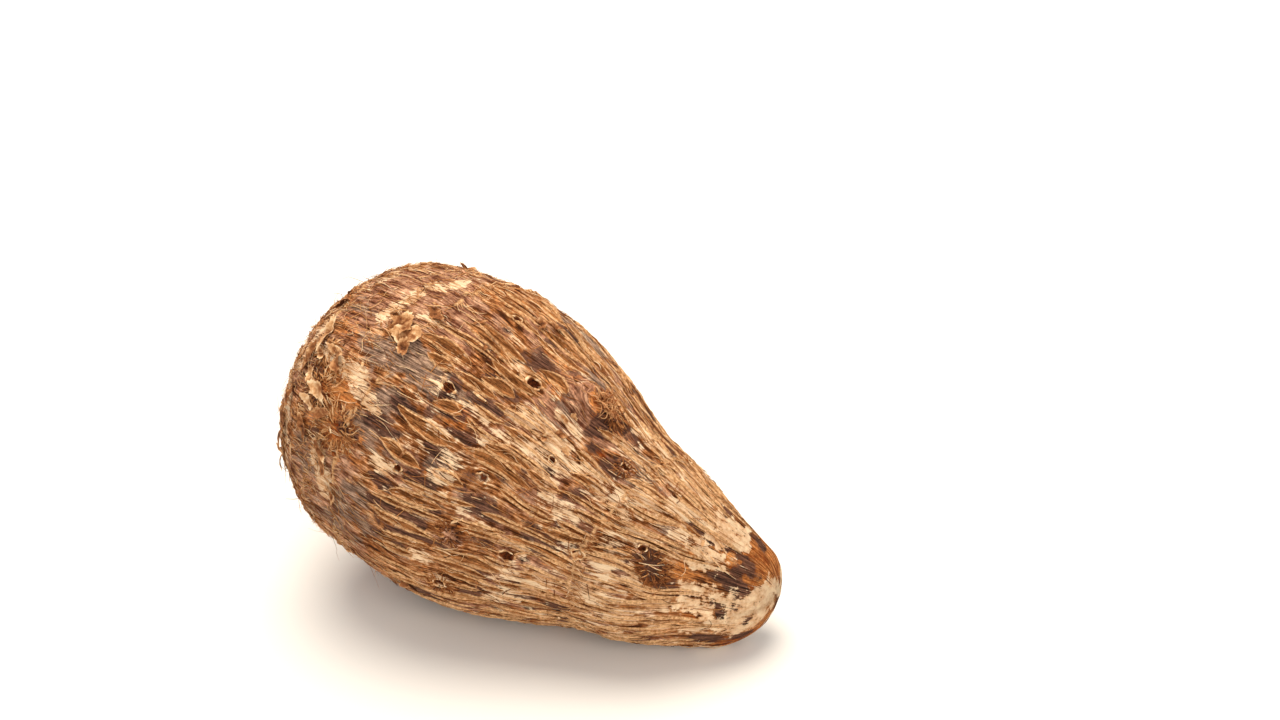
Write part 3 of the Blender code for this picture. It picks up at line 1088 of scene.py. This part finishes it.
def make_bud_tufts(material):
    """Fibres that spread out over each bud and fuzzy root scar from its middle."""
    rng = np.random.default_rng(77)
    tufts = []
    for turn, degrees, size, fibres, shade in TUFTS:
        radius = float(spine(np.array(turn))[0])
        way = rng.uniform(0, TAU, fibres)
        out = size * np.sqrt(rng.uniform(0.01, 0.6, fibres))
        start = float(skin_distance(turn)) + out * np.cos(way)
        angle = math.radians(degrees) + out * np.sin(way) / radius
        along, around = trail(start, angle, way + rng.normal(0, 0.35, fibres),
                              rng.uniform(0.35, 0.8, fibres) * size, rng.normal(0, 0.8, fibres), rng)
        tufts.append((along, around, np.clip(rng.normal(shade, 0.16, fibres), 0, 1)))
    along, around, shades = (np.concatenate(part) for part in zip(*tufts))
    count = len(along)
    lift = 0.04 * MM + rng.uniform(0.05, 0.45, (count, 1)) * MM * np.sin(math.pi * 0.8 * STRAND_SHARE)
    thickness = rng.uniform(0.09, 0.2, count) * MM
    return make_strands("bud_tufts", along, around, lift, thickness, shades, material)


CREST_TURN, CREST_DEGREES = 0.588, 86  # the middle of the big bud's golden tuft
CREST_REACH = 1.5 * MM
CREST_RADIUS = float(spine(np.array(0.59))[0])  # half height of the corm's section by the tuft


def make_bud_crest(material):
    """The golden tuft on the big bud's top: short curled fibres that stand up from it."""
    rng = np.random.default_rng(79)
    count = 150
    way = rng.uniform(0, TAU, count)
    out = CREST_REACH * np.sqrt(rng.uniform(0, 1, count))
    start = skin_distance(CREST_TURN) + out * np.cos(way)
    angle = math.radians(CREST_DEGREES) + out * np.sin(way) / CREST_RADIUS
    along, around = trail(start, angle, rng.uniform(0, TAU, count), rng.uniform(1.4, 3.2, count) * MM,
                          rng.normal(0, 3.0, count), rng)
    lift = rng.uniform(0.4, 2.3, (count, 1)) * MM * np.sin(math.pi * 0.75 * STRAND_SHARE)
    thickness = rng.uniform(0.08, 0.16, count) * MM
    shade = rng.uniform(0.3, 1.0, count)
    return make_strands("bud_crest", along, around, lift, thickness, shade, material)


# Torn sheets of old skin: (turn, degrees, heading, half length in mm, half width in mm, lift in mm)
TORN_SHEETS = (
    (0.362, 111, 35, 4.2, 2.9, 0.5),
    (0.377, 114, -30, 3.8, 2.6, 1.3),
    (0.384, 119, 70, 2.6, 1.4, 0.8),
    (0.388, 102, 40, 3.2, 1.5, 0.5),
    (0.300, 147, 30, 3.4, 2.0, 1.0),
    (0.318, 153, -40, 3.2, 1.6, 0.9),
    (0.290, 163, 70, 3.8, 1.5, 0.9),
    (0.325, 166, 50, 3.0, 1.4, 0.8),
    (0.308, 135, 60, 3.4, 1.4, 0.8),
    (0.262, 126, 85, 5.0, 1.1, 0.8),
    (0.252, 138, 98, 5.5, 1.2, 1.0),
    (0.238, 152, 88, 5.0, 1.0, 0.9),
    (0.232, 168, 92, 5.5, 1.1, 0.8),
    (0.275, 143, 60, 3.0, 1.5, 1.2),
    (0.290, 152, 25, 2.6, 1.2, 0.9),
    (0.300, 131, 10, 3.6, 1.0, 0.4),
    (0.245, 110, 80, 4.0, 0.9, 0.6),
    (0.215, 185, 95, 5.0, 1.0, 0.8),
    (0.205, 240, 85, 5.5, 1.2, 0.9),
    (0.225, 330, 92, 5.5, 1.2, 0.9),
    (0.215, 25, 88, 5.0, 1.1, 0.9),
    (0.090, 100, 90, 4.0, 1.2, 1.0),
    (0.085, 220, 90, 4.0, 1.2, 1.0),
    (0.095, 330, 90, 4.0, 1.2, 1.0),
    (0.060, 40, 60, 2.6, 1.4, 1.1),
    (0.055, 170, 40, 2.6, 1.4, 1.1),
    (0.272, 134, 40, 2.2, 1.0, 0.6),
    (0.472, 76, 60, 2.2, 1.1, 0.9),
    (0.480, 71, -70, 2.0, 0.9, 1.1),
    (0.567, 105, 10, 1.3, 0.7, 0.5),
    (0.574, 101, 15, 1.1, 0.6, 0.6),
    (0.573, 112, -20, 1.5, 0.9, 0.3),
    (0.586, 117, 30, 1.3, 0.8, 0.4),
    (0.562, 118, 80, 1.2, 0.7, 0.4),
    (0.333, 171, 80, 2.8, 1.2, 0.5),
    (0.350, 181, 70, 2.4, 1.0, 0.5),
    (0.440, 210, 20, 2.4, 1.2, 0.7),
    (0.350, 250, 10, 3.0, 1.6, 0.9),
    (0.420, 335, 60, 3.0, 1.8, 1.0),
    (0.370, 20, 30, 2.8, 1.4, 0.9),
    (0.300, 55, -20, 2.6, 1.3, 0.8),
    (0.310, 300, 50, 2.6, 1.5, 0.9),
)
SHEET_RINGS, SHEET_SPOKES = 7, 36
SHEET_CORNERS = 8
SHEET_POINTS = SHEET_RINGS * SHEET_SPOKES + 1  # on one of a sheet's two sides: its rings, and its middle
SHEET_THICKNESS = 0.11 * MM
SHEET_GAP, SHEET_TOP = 0.1 * MM, 1.5 * MM  # how high a scrap stands at least and at most
# Folds: each one's slope, and how far off the middle it runs as a share of the half width
SHEET_FOLDS = ((0.55, 0), (-0.4, 0.3), (0.4, -0.4))


def sheet_faces(count):
    """Faces of many closed sheets: rings of quads and a fan on each side, and a wall round the rim."""
    spoke = np.arange(SHEET_SPOKES)
    beside = (spoke + 1) % SHEET_SPOKES
    near = (np.arange(SHEET_RINGS - 1) * SHEET_SPOKES)[:, None]
    far = near + SHEET_SPOKES
    under = np.stack((near + spoke, far + spoke, far + beside, near + beside), axis=-1).reshape(-1, 4)
    rim = far[-1]
    top_rim = SHEET_POINTS + rim
    wall = np.stack((rim + spoke, top_rim + spoke, top_rim + beside, rim + beside), axis=-1)
    fan = np.stack((0 * spoke + SHEET_POINTS - 1, spoke, beside), axis=-1)
    start = (np.arange(count) * 2 * SHEET_POINTS)[:, None, None]
    quads = start + np.concatenate((under, SHEET_POINTS + under[:, ::-1], wall))
    fans = start + np.concatenate((fan, SHEET_POINTS + fan[:, ::-1]))
    return quads.reshape(-1, 4).tolist() + fans.reshape(-1, 3).tolist()


def make_torn_sheets(material):
    """Torn, folded scraps of old skin: each a thin closed sheet on rings round its middle.

    The outline is an ellipse whose radius changes in straight-sided steps, as torn paper does.  Three folds
    cross it, and its edge curls up off the corm.
    """
    rng = np.random.default_rng(85)
    spoke = np.arange(SHEET_SPOKES) / SHEET_SPOKES * TAU
    ring = np.linspace(0, 1, SHEET_RINGS + 1)[1:, None]
    points, shades, maps = [], [], []
    side = int(math.ceil(math.sqrt(len(TORN_SHEETS))))
    for number, (turn, degrees, heading, half_length, half_width, lift) in enumerate(TORN_SHEETS):
        half_length, half_width, lift = half_length * MM, half_width * MM, lift * MM
        corner = (np.arange(SHEET_CORNERS) + rng.uniform(-0.35, 0.35, SHEET_CORNERS)) / SHEET_CORNERS * TAU
        corners = rng.uniform(0.7, 1.15, SHEET_CORNERS) * np.exp(1j * corner)
        corners = np.append(corners, corners[0])
        edge = np.interp(spoke / TAU * SHEET_CORNERS, np.arange(SHEET_CORNERS + 1), corners)
        edge = edge * (1 + rng.uniform(-0.2, 0.08, SHEET_SPOKES))
        x = np.append((half_length * edge.real * ring).ravel(), 0)
        y = np.append((half_width * edge.imag * ring).ravel(), 0)
        reach = np.hypot(x / half_length, y / half_width)
        fold_way = rng.uniform(0, math.pi, 3)
        fold = sum(np.abs(x * np.cos(way) + y * np.sin(way) + off * half_width) * slope
                   for way, (slope, off) in zip(fold_way, SHEET_FOLDS))
        crumple = grain(np.abs(x) + 20 * MM, y / (12 * MM), 0.9 * MM, 60, 200 + number)
        curl = reach ** 2 * (0.5 + 0.5 * np.sin(2 * np.arctan2(y, x) + fold_way[0]))
        height = 0.15 * MM + lift * (0.2 + 0.9 * curl + 0.25 * crumple) + fold
        height = np.maximum(SHEET_TOP * np.tanh(height / SHEET_TOP), SHEET_GAP)
        way = math.radians(heading)
        radius = float(spine(np.array(turn))[0])
        along = skin_distance(turn) + x * math.cos(way) - y * math.sin(way)
        around = math.radians(degrees) + (x * math.sin(way) + y * math.cos(way)) / radius
        points += [over_skin(along, around, height), over_skin(along, around, height + SHEET_THICKNESS)]
        # Painted shade: the tone drops where the crumple lies low, and the underside is 0.35 darker than the
        # top; the paler rim is the torn edge's own cream
        tone = rng.uniform(0.2, 0.6) + 0.25 * crumple + 0.4 * reach ** 3
        shades += [np.clip(tone - 0.35, 0, 1), np.clip(tone, 0, 1)]
        u = (number % side + 0.5 + 0.42 * np.clip(x / half_length, -1, 1)) / side
        w = (number // side + 0.25 + 0.2 * np.clip(y / half_width, -1, 1)) / side
        maps += [np.stack((u, w), axis=-1), np.stack((u, w + 0.5 / side), axis=-1)]
    points = np.concatenate(points)
    points[:, 2] = np.maximum(points[:, 2], 0)
    sheets = put_mesh("torn_skin_sheets", points, sheet_faces(len(TORN_SHEETS)), material)
    sheets.data.set_sharp_from_angle(angle=math.radians(35))
    put_shades(sheets, np.concatenate(shades))
    maps = np.concatenate(maps)
    put_map(sheets, maps[:, 0], maps[:, 1])
    return sheets


FLAKE_STATIONS = 6
FLAKE_GAP, FLAKE_THICKNESS = 0.12 * MM, 0.09 * MM
FLAKE_SECTION = ((-1, 0), (-0.4, 1), (0.4, 1), (1, 0), (0.4, 0), (-0.4, 0))  # share across, and 1 on top
FLAKE_TURNS = [0.2, 0.243, 0.285, 0.33, 0.372]  # where flakes crowd, near the leaf rings


def make_flakes(material):
    """Papery flakes of the old skin: thin closed blades, widest in the middle, curling up at one end.

    Flakes that would lie in the resting plane are left out.
    """
    rng = np.random.default_rng(81)
    count = 190
    turn = np.where(rng.uniform(0, 1, count) < 0.55, rng.choice(FLAKE_TURNS, count),
                    rng.uniform(0.1, 0.8, count)) + rng.normal(0, 0.012, count)
    angle = np.radians(rng.uniform(0, 360, count))[:, None]
    heading = np.radians(rng.normal(0, 50, count))[:, None]
    length = (rng.uniform(1.0, 3.6, count) * MM)[:, None]
    half_width = (rng.uniform(0.15, 0.45, count) * MM)[:, None]
    end_lift = (rng.uniform(0.0, 0.8, count) * MM)[:, None]
    share = np.linspace(0, 1, FLAKE_STATIONS)[None, :]
    radius = np.maximum(spine(turn)[0], 3 * MM)[:, None]
    along = skin_distance(turn)[:, None] + length * share * np.cos(heading)
    along = np.clip(along, MM, SKIN_LENGTH - MM)
    around = angle + length * share * np.sin(heading) / radius
    ragged = rng.uniform(0.75, 1.15, (count, FLAKE_STATIONS))
    width = half_width * np.sin(math.pi * (0.12 + 0.82 * share)) ** 0.7 * ragged
    curl = rng.uniform(0.0, 0.7, (count, 1)) * width
    rings = []
    for place, top in FLAKE_SECTION:
        side_along = along - np.sin(heading) * width * place
        side_around = around + np.cos(heading) * width * place / radius
        height = FLAKE_GAP + end_lift * share ** 2 + curl * place ** 2 + FLAKE_THICKNESS * top
        rings.append(over_skin(side_along, side_around, height))
    rings = np.stack(rings, axis=2)
    shade = rng.uniform(0.2, 0.85, (count, 1, 1)) + rng.uniform(-0.12, 0.12, (count, FLAKE_STATIONS, 1))
    shade = np.broadcast_to(np.clip(shade, 0, 1), rings.shape[:3])
    clear = rings[..., 2].min(axis=(1, 2)) > 0
    rings, shade = rings[clear], shade[clear]
    faces = swept_faces(len(rings), FLAKE_STATIONS, len(FLAKE_SECTION))
    flakes = put_mesh("skin_flakes", rings, faces, material)
    flakes.data.set_sharp_from_angle(angle=math.radians(50))
    put_shades(flakes, shade)
    put_map(flakes, shade * 0.45, np.broadcast_to(share[:, :, None], shade.shape))
    return flakes


RIM_STATIONS, RIM_SIDES = 26, 6


def make_scar_rims(material):
    """The rims of the root scars: an uneven ring round each pit, swept with a section that swells."""
    rng = np.random.default_rng(83)
    turn, degrees, size, _ = (column[:, None, None] for column in np.array(ROOT_SCARS).T)
    count = len(ROOT_SCARS)
    way = (np.arange(RIM_STATIONS) / RIM_STATIONS * TAU)[None, :, None]
    section = (np.arange(RIM_SIDES) / RIM_SIDES * TAU)[None, None, :]
    phase = rng.uniform(0, TAU, (3, count, 1, 1))
    reach = size * (1.08 + 0.14 * np.sin(2 * way + phase[0]) + 0.08 * np.sin(5 * way + phase[1]))
    thick = size * 0.19 * (1 + 0.45 * np.sin(3 * way + phase[2]) + 0.2 * np.sin(7 * way + phase[0]))
    flat = reach + thick * np.cos(section)
    along = skin_distance(turn) + flat * np.cos(way)
    around = np.radians(degrees) + flat * np.sin(way) / spine(turn)[0]
    lift = 0.05 * MM + thick * np.sin(section)
    points = look_up(BASE, along, around) + look_up(BASE_NORMAL, along, around) * lift[..., None]
    points[..., 2] = np.maximum(points[..., 2], 0)
    rims = put_mesh("root_scar_rims", points, ring_faces(count, RIM_STATIONS, RIM_SIDES), material)
    # Painted light and shade: each rim is lighter over its top and darker under it, besides an uneven tint
    # round it
    shade = np.clip(0.5 + 0.3 * np.sin(section) + 0.2 * np.sin(4 * way + phase[1]) + 0 * flat, 0, 1)
    put_shades(rims, shade)
    put_map(rims, shade * 0.45, way / TAU + 0 * flat)
    return rims


# ---------------------------------------------------------------- materials

def linear(code):
    """A linear colour from an sRGB hex value."""
    parts = [int(code[i:i + 2], 16) / 255 for i in (1, 3, 5)]
    return [(c / 12.92 if c <= 0.04045 else ((c + 0.055) / 1.055) ** 2.4) for c in parts] + [1.0]


def add(tree, kind, inputs=None, **settings):
    """Adds a node: its settings, and its inputs, each a value or another node's output."""
    made = tree.nodes.new(kind)
    for name, value in settings.items():
        setattr(made, name, value)
    for name, value in (inputs or {}).items():
        if isinstance(value, bpy.types.NodeSocket):
            tree.links.new(value, made.inputs[name])
        else:
            made.inputs[name].default_value = value
    return made


def put_stops(ramp, stops):
    """Sets a colour ramp's stops."""
    while len(ramp.color_ramp.elements) < len(stops):
        ramp.color_ramp.elements.new(0.5)
    for element, (position, code) in zip(ramp.color_ramp.elements, stops):
        element.position = position
        element.color = linear(code)


# Noises of the skin: the space each lies in, its size along and across the grain in mm, detail, roughness.
# The real fibres are about 0.1 mm wide and too fine to show, so strands and scratches are drawn wider.
PATTERNS = {
    "strands": ("flow", 4.0, 0.42, 3, 0.65),
    "streaks": ("flow", 8.0, 1.3, 3, 0.6),
    "bands": ("flow", 4.5, 3.2, 2, 0.55),
    "mottle": ("object", 2.6, 2.6, 5, 0.65),
    "specks": ("object", 0.7, 0.7, 3, 0.65),
    "scratches": ("flow", 1.9, 0.26, 2, 0.6),
    "tip_strands": ("flow", 4.0, 1.15, 3, 0.65),
}
# The strands narrow as the corm does, so over this stretch of X wider ones take over from them
TIP_STRANDS_FROM, TIP_STRANDS_FULL = 30 * MM, 46 * MM
MASK_NAMES = {"split": ("lip", "trough", "pit"), "ground": ("cream", "dark", "rust"),
              "age": ("slate", "mauve", "bloom")}
TONE = {"streaks": 1.1, "strands": 0.8, "mottle": 0.6, "bands": 0.5}
TONE_STOPS = ((0.26, "#4A240B"), (0.40, "#844B22"), (0.50, "#B27142"), (0.60, "#D89A66"), (0.74, "#F2C294"))
# Colours laid over the ground, in order: the mask, the noises that ragged its edge and how much, where it
# starts and is full, how strong it is, the noise that shades it, from where to where, and its dark and light
GROUND_LAYERS = (
    ("mauve", {"mottle": 1.0, "streaks": 0.6}, 0.25, 0.55, 0.74, "tone", 0.30, 0.74, "#7A4630", "#E3AF90"),
    ("slate", {"streaks": 1.2, "mottle": 0.5}, 0.3, 0.6, 0.82, "strands", 0.34, 0.66, "#4A362A", "#BFA08A"),
    ("rust", {"strands": 1.4, "mottle": 0.8}, 0.38, 0.66, 0.88, "tone", 0.32, 0.7, "#944211", "#EE9C53"),
    ("dark", {"streaks": 0.9, "strands": 0.9, "mottle": 0.9, "scratches": 0.5}, 0.44, 0.56, 0.95,
     "strands", 0.36, 0.66, "#2C1A15", "#835845"),
    ("trough", {"strands": 0.15}, 0.05, 0.3, 0.92, "strands", 0.33, 0.67, "#8A4A1A", "#D4935A"),
    # Painted shade: the deepest middle of each trough is darkened, as shade falls in the crease
    ("trough", {"strands": -0.7}, 0.76, 1.0, 0.6, "specks", 0.3, 0.7, "#351804", "#643813"),
)
TOP_LAYERS = (
    ("cream", {"mottle": 1.2, "streaks": 1.2, "strands": 1.2, "scratches": 0.6}, 0.38, 0.60, 0.94,
     "tone", 0.28, 0.62, "#C98E5A", "#FCDDB6"),
    ("bloom", {"mottle": 2.1, "specks": 0.5, "strands": 1.1}, 0.44, 0.60, 0.96,
     "mottle", 0.30, 0.62, "#CC8A50", "#FFE0B8"),
    ("lip", {"strands": 0.5}, 0.34, 0.7, 0.95, "specks", 0.32, 0.66, "#AC7342", "#F6C894"),
    # Root scar pits: their own red-brown, darkened as painted shade in the hollow
    ("pit", {"specks": 0.4}, 0.15, 0.5, 1.0, "specks", 0.36, 0.66, "#2A1007", "#7A3C1C"),
)
# How each noise lightens and darkens the ground: from and to in the noise, least and most
LIGHTENING = {"strands": (0.32, 0.68, 0.68, 1.18), "specks": (0.3, 0.7, 0.66, 1.22),
              "scratches": (0.34, 0.66, 0.68, 1.24)}
# Shares of the noises in the bump, to the strands' 1
RELIEF = {"specks": 0.6, "streaks": 0.6, "mottle": 0.5, "scratches": 0.6}


def weighted_sum(tree, values, weights, total):
    """A total with weighted noises added to it, one after another."""
    for name, weight in weights.items():
        total = add(tree, "ShaderNodeMath", {0: values[name], 1: weight, 2: total},
                    operation="MULTIPLY_ADD").outputs[0]
    return total


def laid_over(tree, values, colour, layers):
    """A colour with other colours over it, each where its mask, made ragged by noises, is strong."""
    for mask, ragged, start, full, strength, pattern, low, high, dark, light in layers:
        edge = weighted_sum(tree, values, ragged, values[mask])
        middle = sum(ragged.values()) / 2
        share = add(tree, "ShaderNodeMapRange", {"Value": edge, "From Min": start + middle,
                                                 "From Max": full + middle, "To Max": strength},
                    interpolation_type="SMOOTHSTEP")
        shade = add(tree, "ShaderNodeMapRange", {"Value": values[pattern], "From Min": low, "From Max": high})
        own = add(tree, "ShaderNodeMix", {0: shade.outputs[0], 6: linear(dark), 7: linear(light)},
                  data_type="RGBA")
        colour = add(tree, "ShaderNodeMix", {0: share.outputs[0], 6: colour, 7: own.outputs[2]},
                     data_type="RGBA").outputs[2]
    return colour


def dry_corm_skin():
    """Taro's dried outer skin: dull, fibrous, tan over chocolate brown, split along its fibres.

    To the eye it is matt, with fine light and dark fibres along the corm, pale lips on each split, an ochre
    trough with painted shade down its deep middle, and patches of cream, slate, mauve, rust and dark brown.
    """
    material = bpy.data.materials.new("dry_fibrous_corm_skin")
    material.use_nodes = True
    tree = material.node_tree
    shader = tree.nodes["Principled BSDF"]
    shader.inputs["Specular IOR Level"].default_value = 0.12
    spaces = {"flow": add(tree, "ShaderNodeAttribute", attribute_name="flow").outputs["Vector"],
              "object": add(tree, "ShaderNodeTexCoord").outputs["Object"]}
    values = {}
    for name, (space, along, across, detail, roughness) in PATTERNS.items():
        scale = (1 / (along * MM), 1 / (across * MM), 1 / (across * MM))
        scaled = add(tree, "ShaderNodeMapping", {"Vector": spaces[space], "Scale": scale})
        noise = add(tree, "ShaderNodeTexNoise", {"Vector": scaled.outputs[0], "Scale": 1.0, "Detail": detail,
                                                 "Roughness": roughness})
        values[name] = noise.outputs["Fac"]
    place_along = add(tree, "ShaderNodeSeparateXYZ", {0: spaces["object"]}).outputs[0]
    tip_share = add(tree, "ShaderNodeMapRange", {"Value": place_along, "From Min": TIP_STRANDS_FROM,
                                                 "From Max": TIP_STRANDS_FULL})
    values["strands"] = add(tree, "ShaderNodeMix", {0: tip_share.outputs[0], 2: values["strands"],
                                                    3: values["tip_strands"]}).outputs[0]
    for attribute, names in MASK_NAMES.items():
        stored = add(tree, "ShaderNodeAttribute", attribute_name=attribute).outputs["Color"]
        values.update(zip(names, add(tree, "ShaderNodeSeparateColor", {0: stored}).outputs))
    values["tone"] = weighted_sum(tree, values, TONE, 0.5 - sum(TONE.values()) / 2)
    ground = add(tree, "ShaderNodeValToRGB", {0: values["tone"]})
    put_stops(ground, TONE_STOPS)
    colour = laid_over(tree, values, ground.outputs[0], GROUND_LAYERS)
    for name, (low, high, least, most) in LIGHTENING.items():
        gain = add(tree, "ShaderNodeMapRange", {"Value": values[name], "From Min": low, "From Max": high,
                                                "To Min": least, "To Max": most})
        colour = add(tree, "ShaderNodeVectorMath", {0: colour, "Scale": gain.outputs[0]},
                     operation="SCALE").outputs[0]
    tree.links.new(laid_over(tree, values, colour, TOP_LAYERS), shader.inputs["Base Color"])
    dull = add(tree, "ShaderNodeMapRange", {"Value": values["specks"], "From Min": 0.3, "From Max": 0.7,
                                            "To Min": 0.78, "To Max": 0.95})
    tree.links.new(dull.outputs[0], shader.inputs["Roughness"])
    relief = weighted_sum(tree, values, RELIEF, values["strands"])
    bump = add(tree, "ShaderNodeBump", {"Height": relief, "Strength": 1.0, "Distance": 0.5 * MM})
    tree.links.new(bump.outputs[0], shader.inputs["Normal"])
    return material


FIBRE_MOTTLE = 0.9 * MM              # size of the mottling on strands and scraps


def fibre_material(name, stops, roughness, mottling):
    """Dried plant fibre: dull strands or scraps, each of its own shade of the stops, and mottled all over."""
    material = bpy.data.materials.new(name)
    material.use_nodes = True
    tree = material.node_tree
    shader = tree.nodes["Principled BSDF"]
    shader.inputs["Specular IOR Level"].default_value = 0.2
    shader.inputs["Roughness"].default_value = roughness
    place = add(tree, "ShaderNodeTexCoord").outputs["Object"]
    mottle = add(tree, "ShaderNodeTexNoise", {"Vector": place, "Scale": 1 / FIBRE_MOTTLE, "Detail": 4,
                                              "Roughness": 0.7}).outputs["Fac"]
    own = add(tree, "ShaderNodeAttribute", attribute_name="shade").outputs["Fac"]
    shade = add(tree, "ShaderNodeMath", {0: mottle, 1: mottling, 2: own}, operation="MULTIPLY_ADD")
    shade = add(tree, "ShaderNodeMath", {0: shade.outputs[0], 1: mottling / 2}, operation="SUBTRACT")
    ramp = add(tree, "ShaderNodeValToRGB", {0: shade.outputs[0]})
    put_stops(ramp, stops)
    tree.links.new(ramp.outputs[0], shader.inputs["Base Color"])
    bump = add(tree, "ShaderNodeBump", {"Height": mottle, "Strength": 0.8, "Distance": 0.3 * MM})
    tree.links.new(bump.outputs[0], shader.inputs["Normal"])
    return material


def white_paper():
    """The studio's matt white paper: plain and dull, so that nothing but the corm's shadow shows on it."""
    material = bpy.data.materials.new("matt_white_paper")
    material.use_nodes = True
    shader = material.node_tree.nodes["Principled BSDF"]
    shader.inputs["Base Color"].default_value = linear("#F4F2EE")
    shader.inputs["Roughness"].default_value = 0.9
    shader.inputs["Specular IOR Level"].default_value = 0.1
    return material


# ---------------------------------------------------------------- stage, light and camera

CAMERA_AZIMUTH, CAMERA_ELEVATION = math.radians(25.24), math.radians(35)
CAMERA_DISTANCE = 716.3 * MM
CAMERA_LEFT, CAMERA_DOWN = 24.4 * MM, 31.75 * MM  # how far the corm's middle is off the view's centre
CAMERA_LENS, CAMERA_SENSOR = 85, 36  # mm
AIM_HEIGHT = 30 * MM
FLOOR_REACH = 3.0

# Lamps: (name, place, width, watts, colour)
LAMPS = (
    ("key", (-0.18, 0.22, 1.05), 0.95, 14.2, "#FFF4E4"),
    ("fill", (0.95, -0.75, 0.8), 0.9, 7.6, "#FFF6EA"),
)
SKY_STRENGTH = 0.53


def make_stage():
    """A wide flat sheet of paper for the corm to lie on."""
    floor = bpy.data.objects.new("floor", bpy.data.meshes.new("floor"))
    corners = [(x * FLOOR_REACH, y * FLOOR_REACH, 0) for x, y in ((-1, -1), (1, -1), (1, 1), (-1, 1))]
    floor.data.from_pydata(corners, [], [(0, 1, 2, 3)])
    floor.data.materials.append(white_paper())
    bpy.context.scene.collection.objects.link(floor)


def make_lights():
    """Round lamps turned to the corm's middle, and an even white sky."""
    for name, place, width, watts, colour in LAMPS:
        light = bpy.data.lights.new(name, "AREA")
        light.shape = "DISK"
        light.size = width
        light.energy = watts
        light.color = linear(colour)[:3]
        lamp = bpy.data.objects.new(name, light)
        lamp.location = place
        aim = np.array([0, 0, AIM_HEIGHT]) - np.array(place)
        tilt = math.acos(-aim[2] / np.linalg.norm(aim))
        lamp.rotation_euler = (tilt, 0, math.atan2(aim[1], aim[0]) - math.pi / 2)
        bpy.context.scene.collection.objects.link(lamp)
    world = bpy.data.worlds.new("studio")
    world.use_nodes = True
    sky = world.node_tree.nodes["Background"]
    sky.inputs["Color"].default_value = linear("#FFFFFF")
    sky.inputs["Strength"].default_value = SKY_STRENGTH
    bpy.context.scene.world = world
    bpy.context.scene.view_settings.view_transform = "Standard"


def make_camera():
    """An 85 mm lens that looks down at the corm, which lies left of and below the middle of the view."""
    a, e = CAMERA_AZIMUTH, CAMERA_ELEVATION
    back = np.array([math.sin(a) * math.cos(e), -math.cos(a) * math.cos(e), math.sin(e)])
    right = np.array([math.cos(a), math.sin(a), 0])
    up = np.cross(back, right)
    low, high = (np.array(corner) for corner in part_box("taro_corm"))
    aim = (low + high) / 2
    aim[2] = AIM_HEIGHT
    place = aim + back * CAMERA_DISTANCE + right * CAMERA_LEFT + up * CAMERA_DOWN
    camera = bpy.data.objects.new("camera", bpy.data.cameras.new("camera"))
    camera.data.lens = CAMERA_LENS
    camera.data.sensor_width = CAMERA_SENSOR
    camera.matrix_world = Matrix([(right[k], up[k], back[k], place[k]) for k in range(3)] + [(0, 0, 0, 1)])
    bpy.context.scene.collection.objects.link(camera)
    bpy.context.scene.camera = camera


# ---------------------------------------------------------------- putting it together

make_camera()
make_stage()
make_lights()

skin_material = dry_corm_skin()
# Loose fibres and hairs, dried: dull straws and browns, most of them paler than the skin under them
fibre = fibre_material("dried_brown_fibre", ((0.0, "#40200F"), (0.3, "#8C4F26"), (0.6, "#C98B53"),
                                             (0.85, "#EDBF8C"), (1.0, "#FADDB4")), 0.8, 0.9)
# The big bud's young fibres: a warm gold that stands out on its brown scales
golden = fibre_material("golden_bud_fibre", ((0.0, "#3C1A0A"), (0.5, "#A45F30"), (1.0, "#F0B880")), 0.75, 0.6)
# Scraps of the outer skin, thin as paper: matt and cream where torn; on the torn sheets the brown in low
# crinkles and on the undersides is painted shade
paper = fibre_material("papery_old_skin", ((0.0, "#48240F"), (0.35, "#945C34"), (0.65, "#CC9A6A"),
                                           (1.0, "#F6D8AE")), 0.85, 1.2)
skin = make_skin(skin_material)
details = [
    make_lips(skin_material),
    make_skin_fibres(fibre),
    make_crown_hairs(fibre),
    make_ring_fringes(fibre),
    make_bud_tufts(fibre),
    make_bud_crest(golden),
    make_flakes(paper),
    make_torn_sheets(paper),
    make_scar_rims(paper),
]
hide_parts("taro_corm")
for piece in [skin] + details:
    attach(piece, "root")
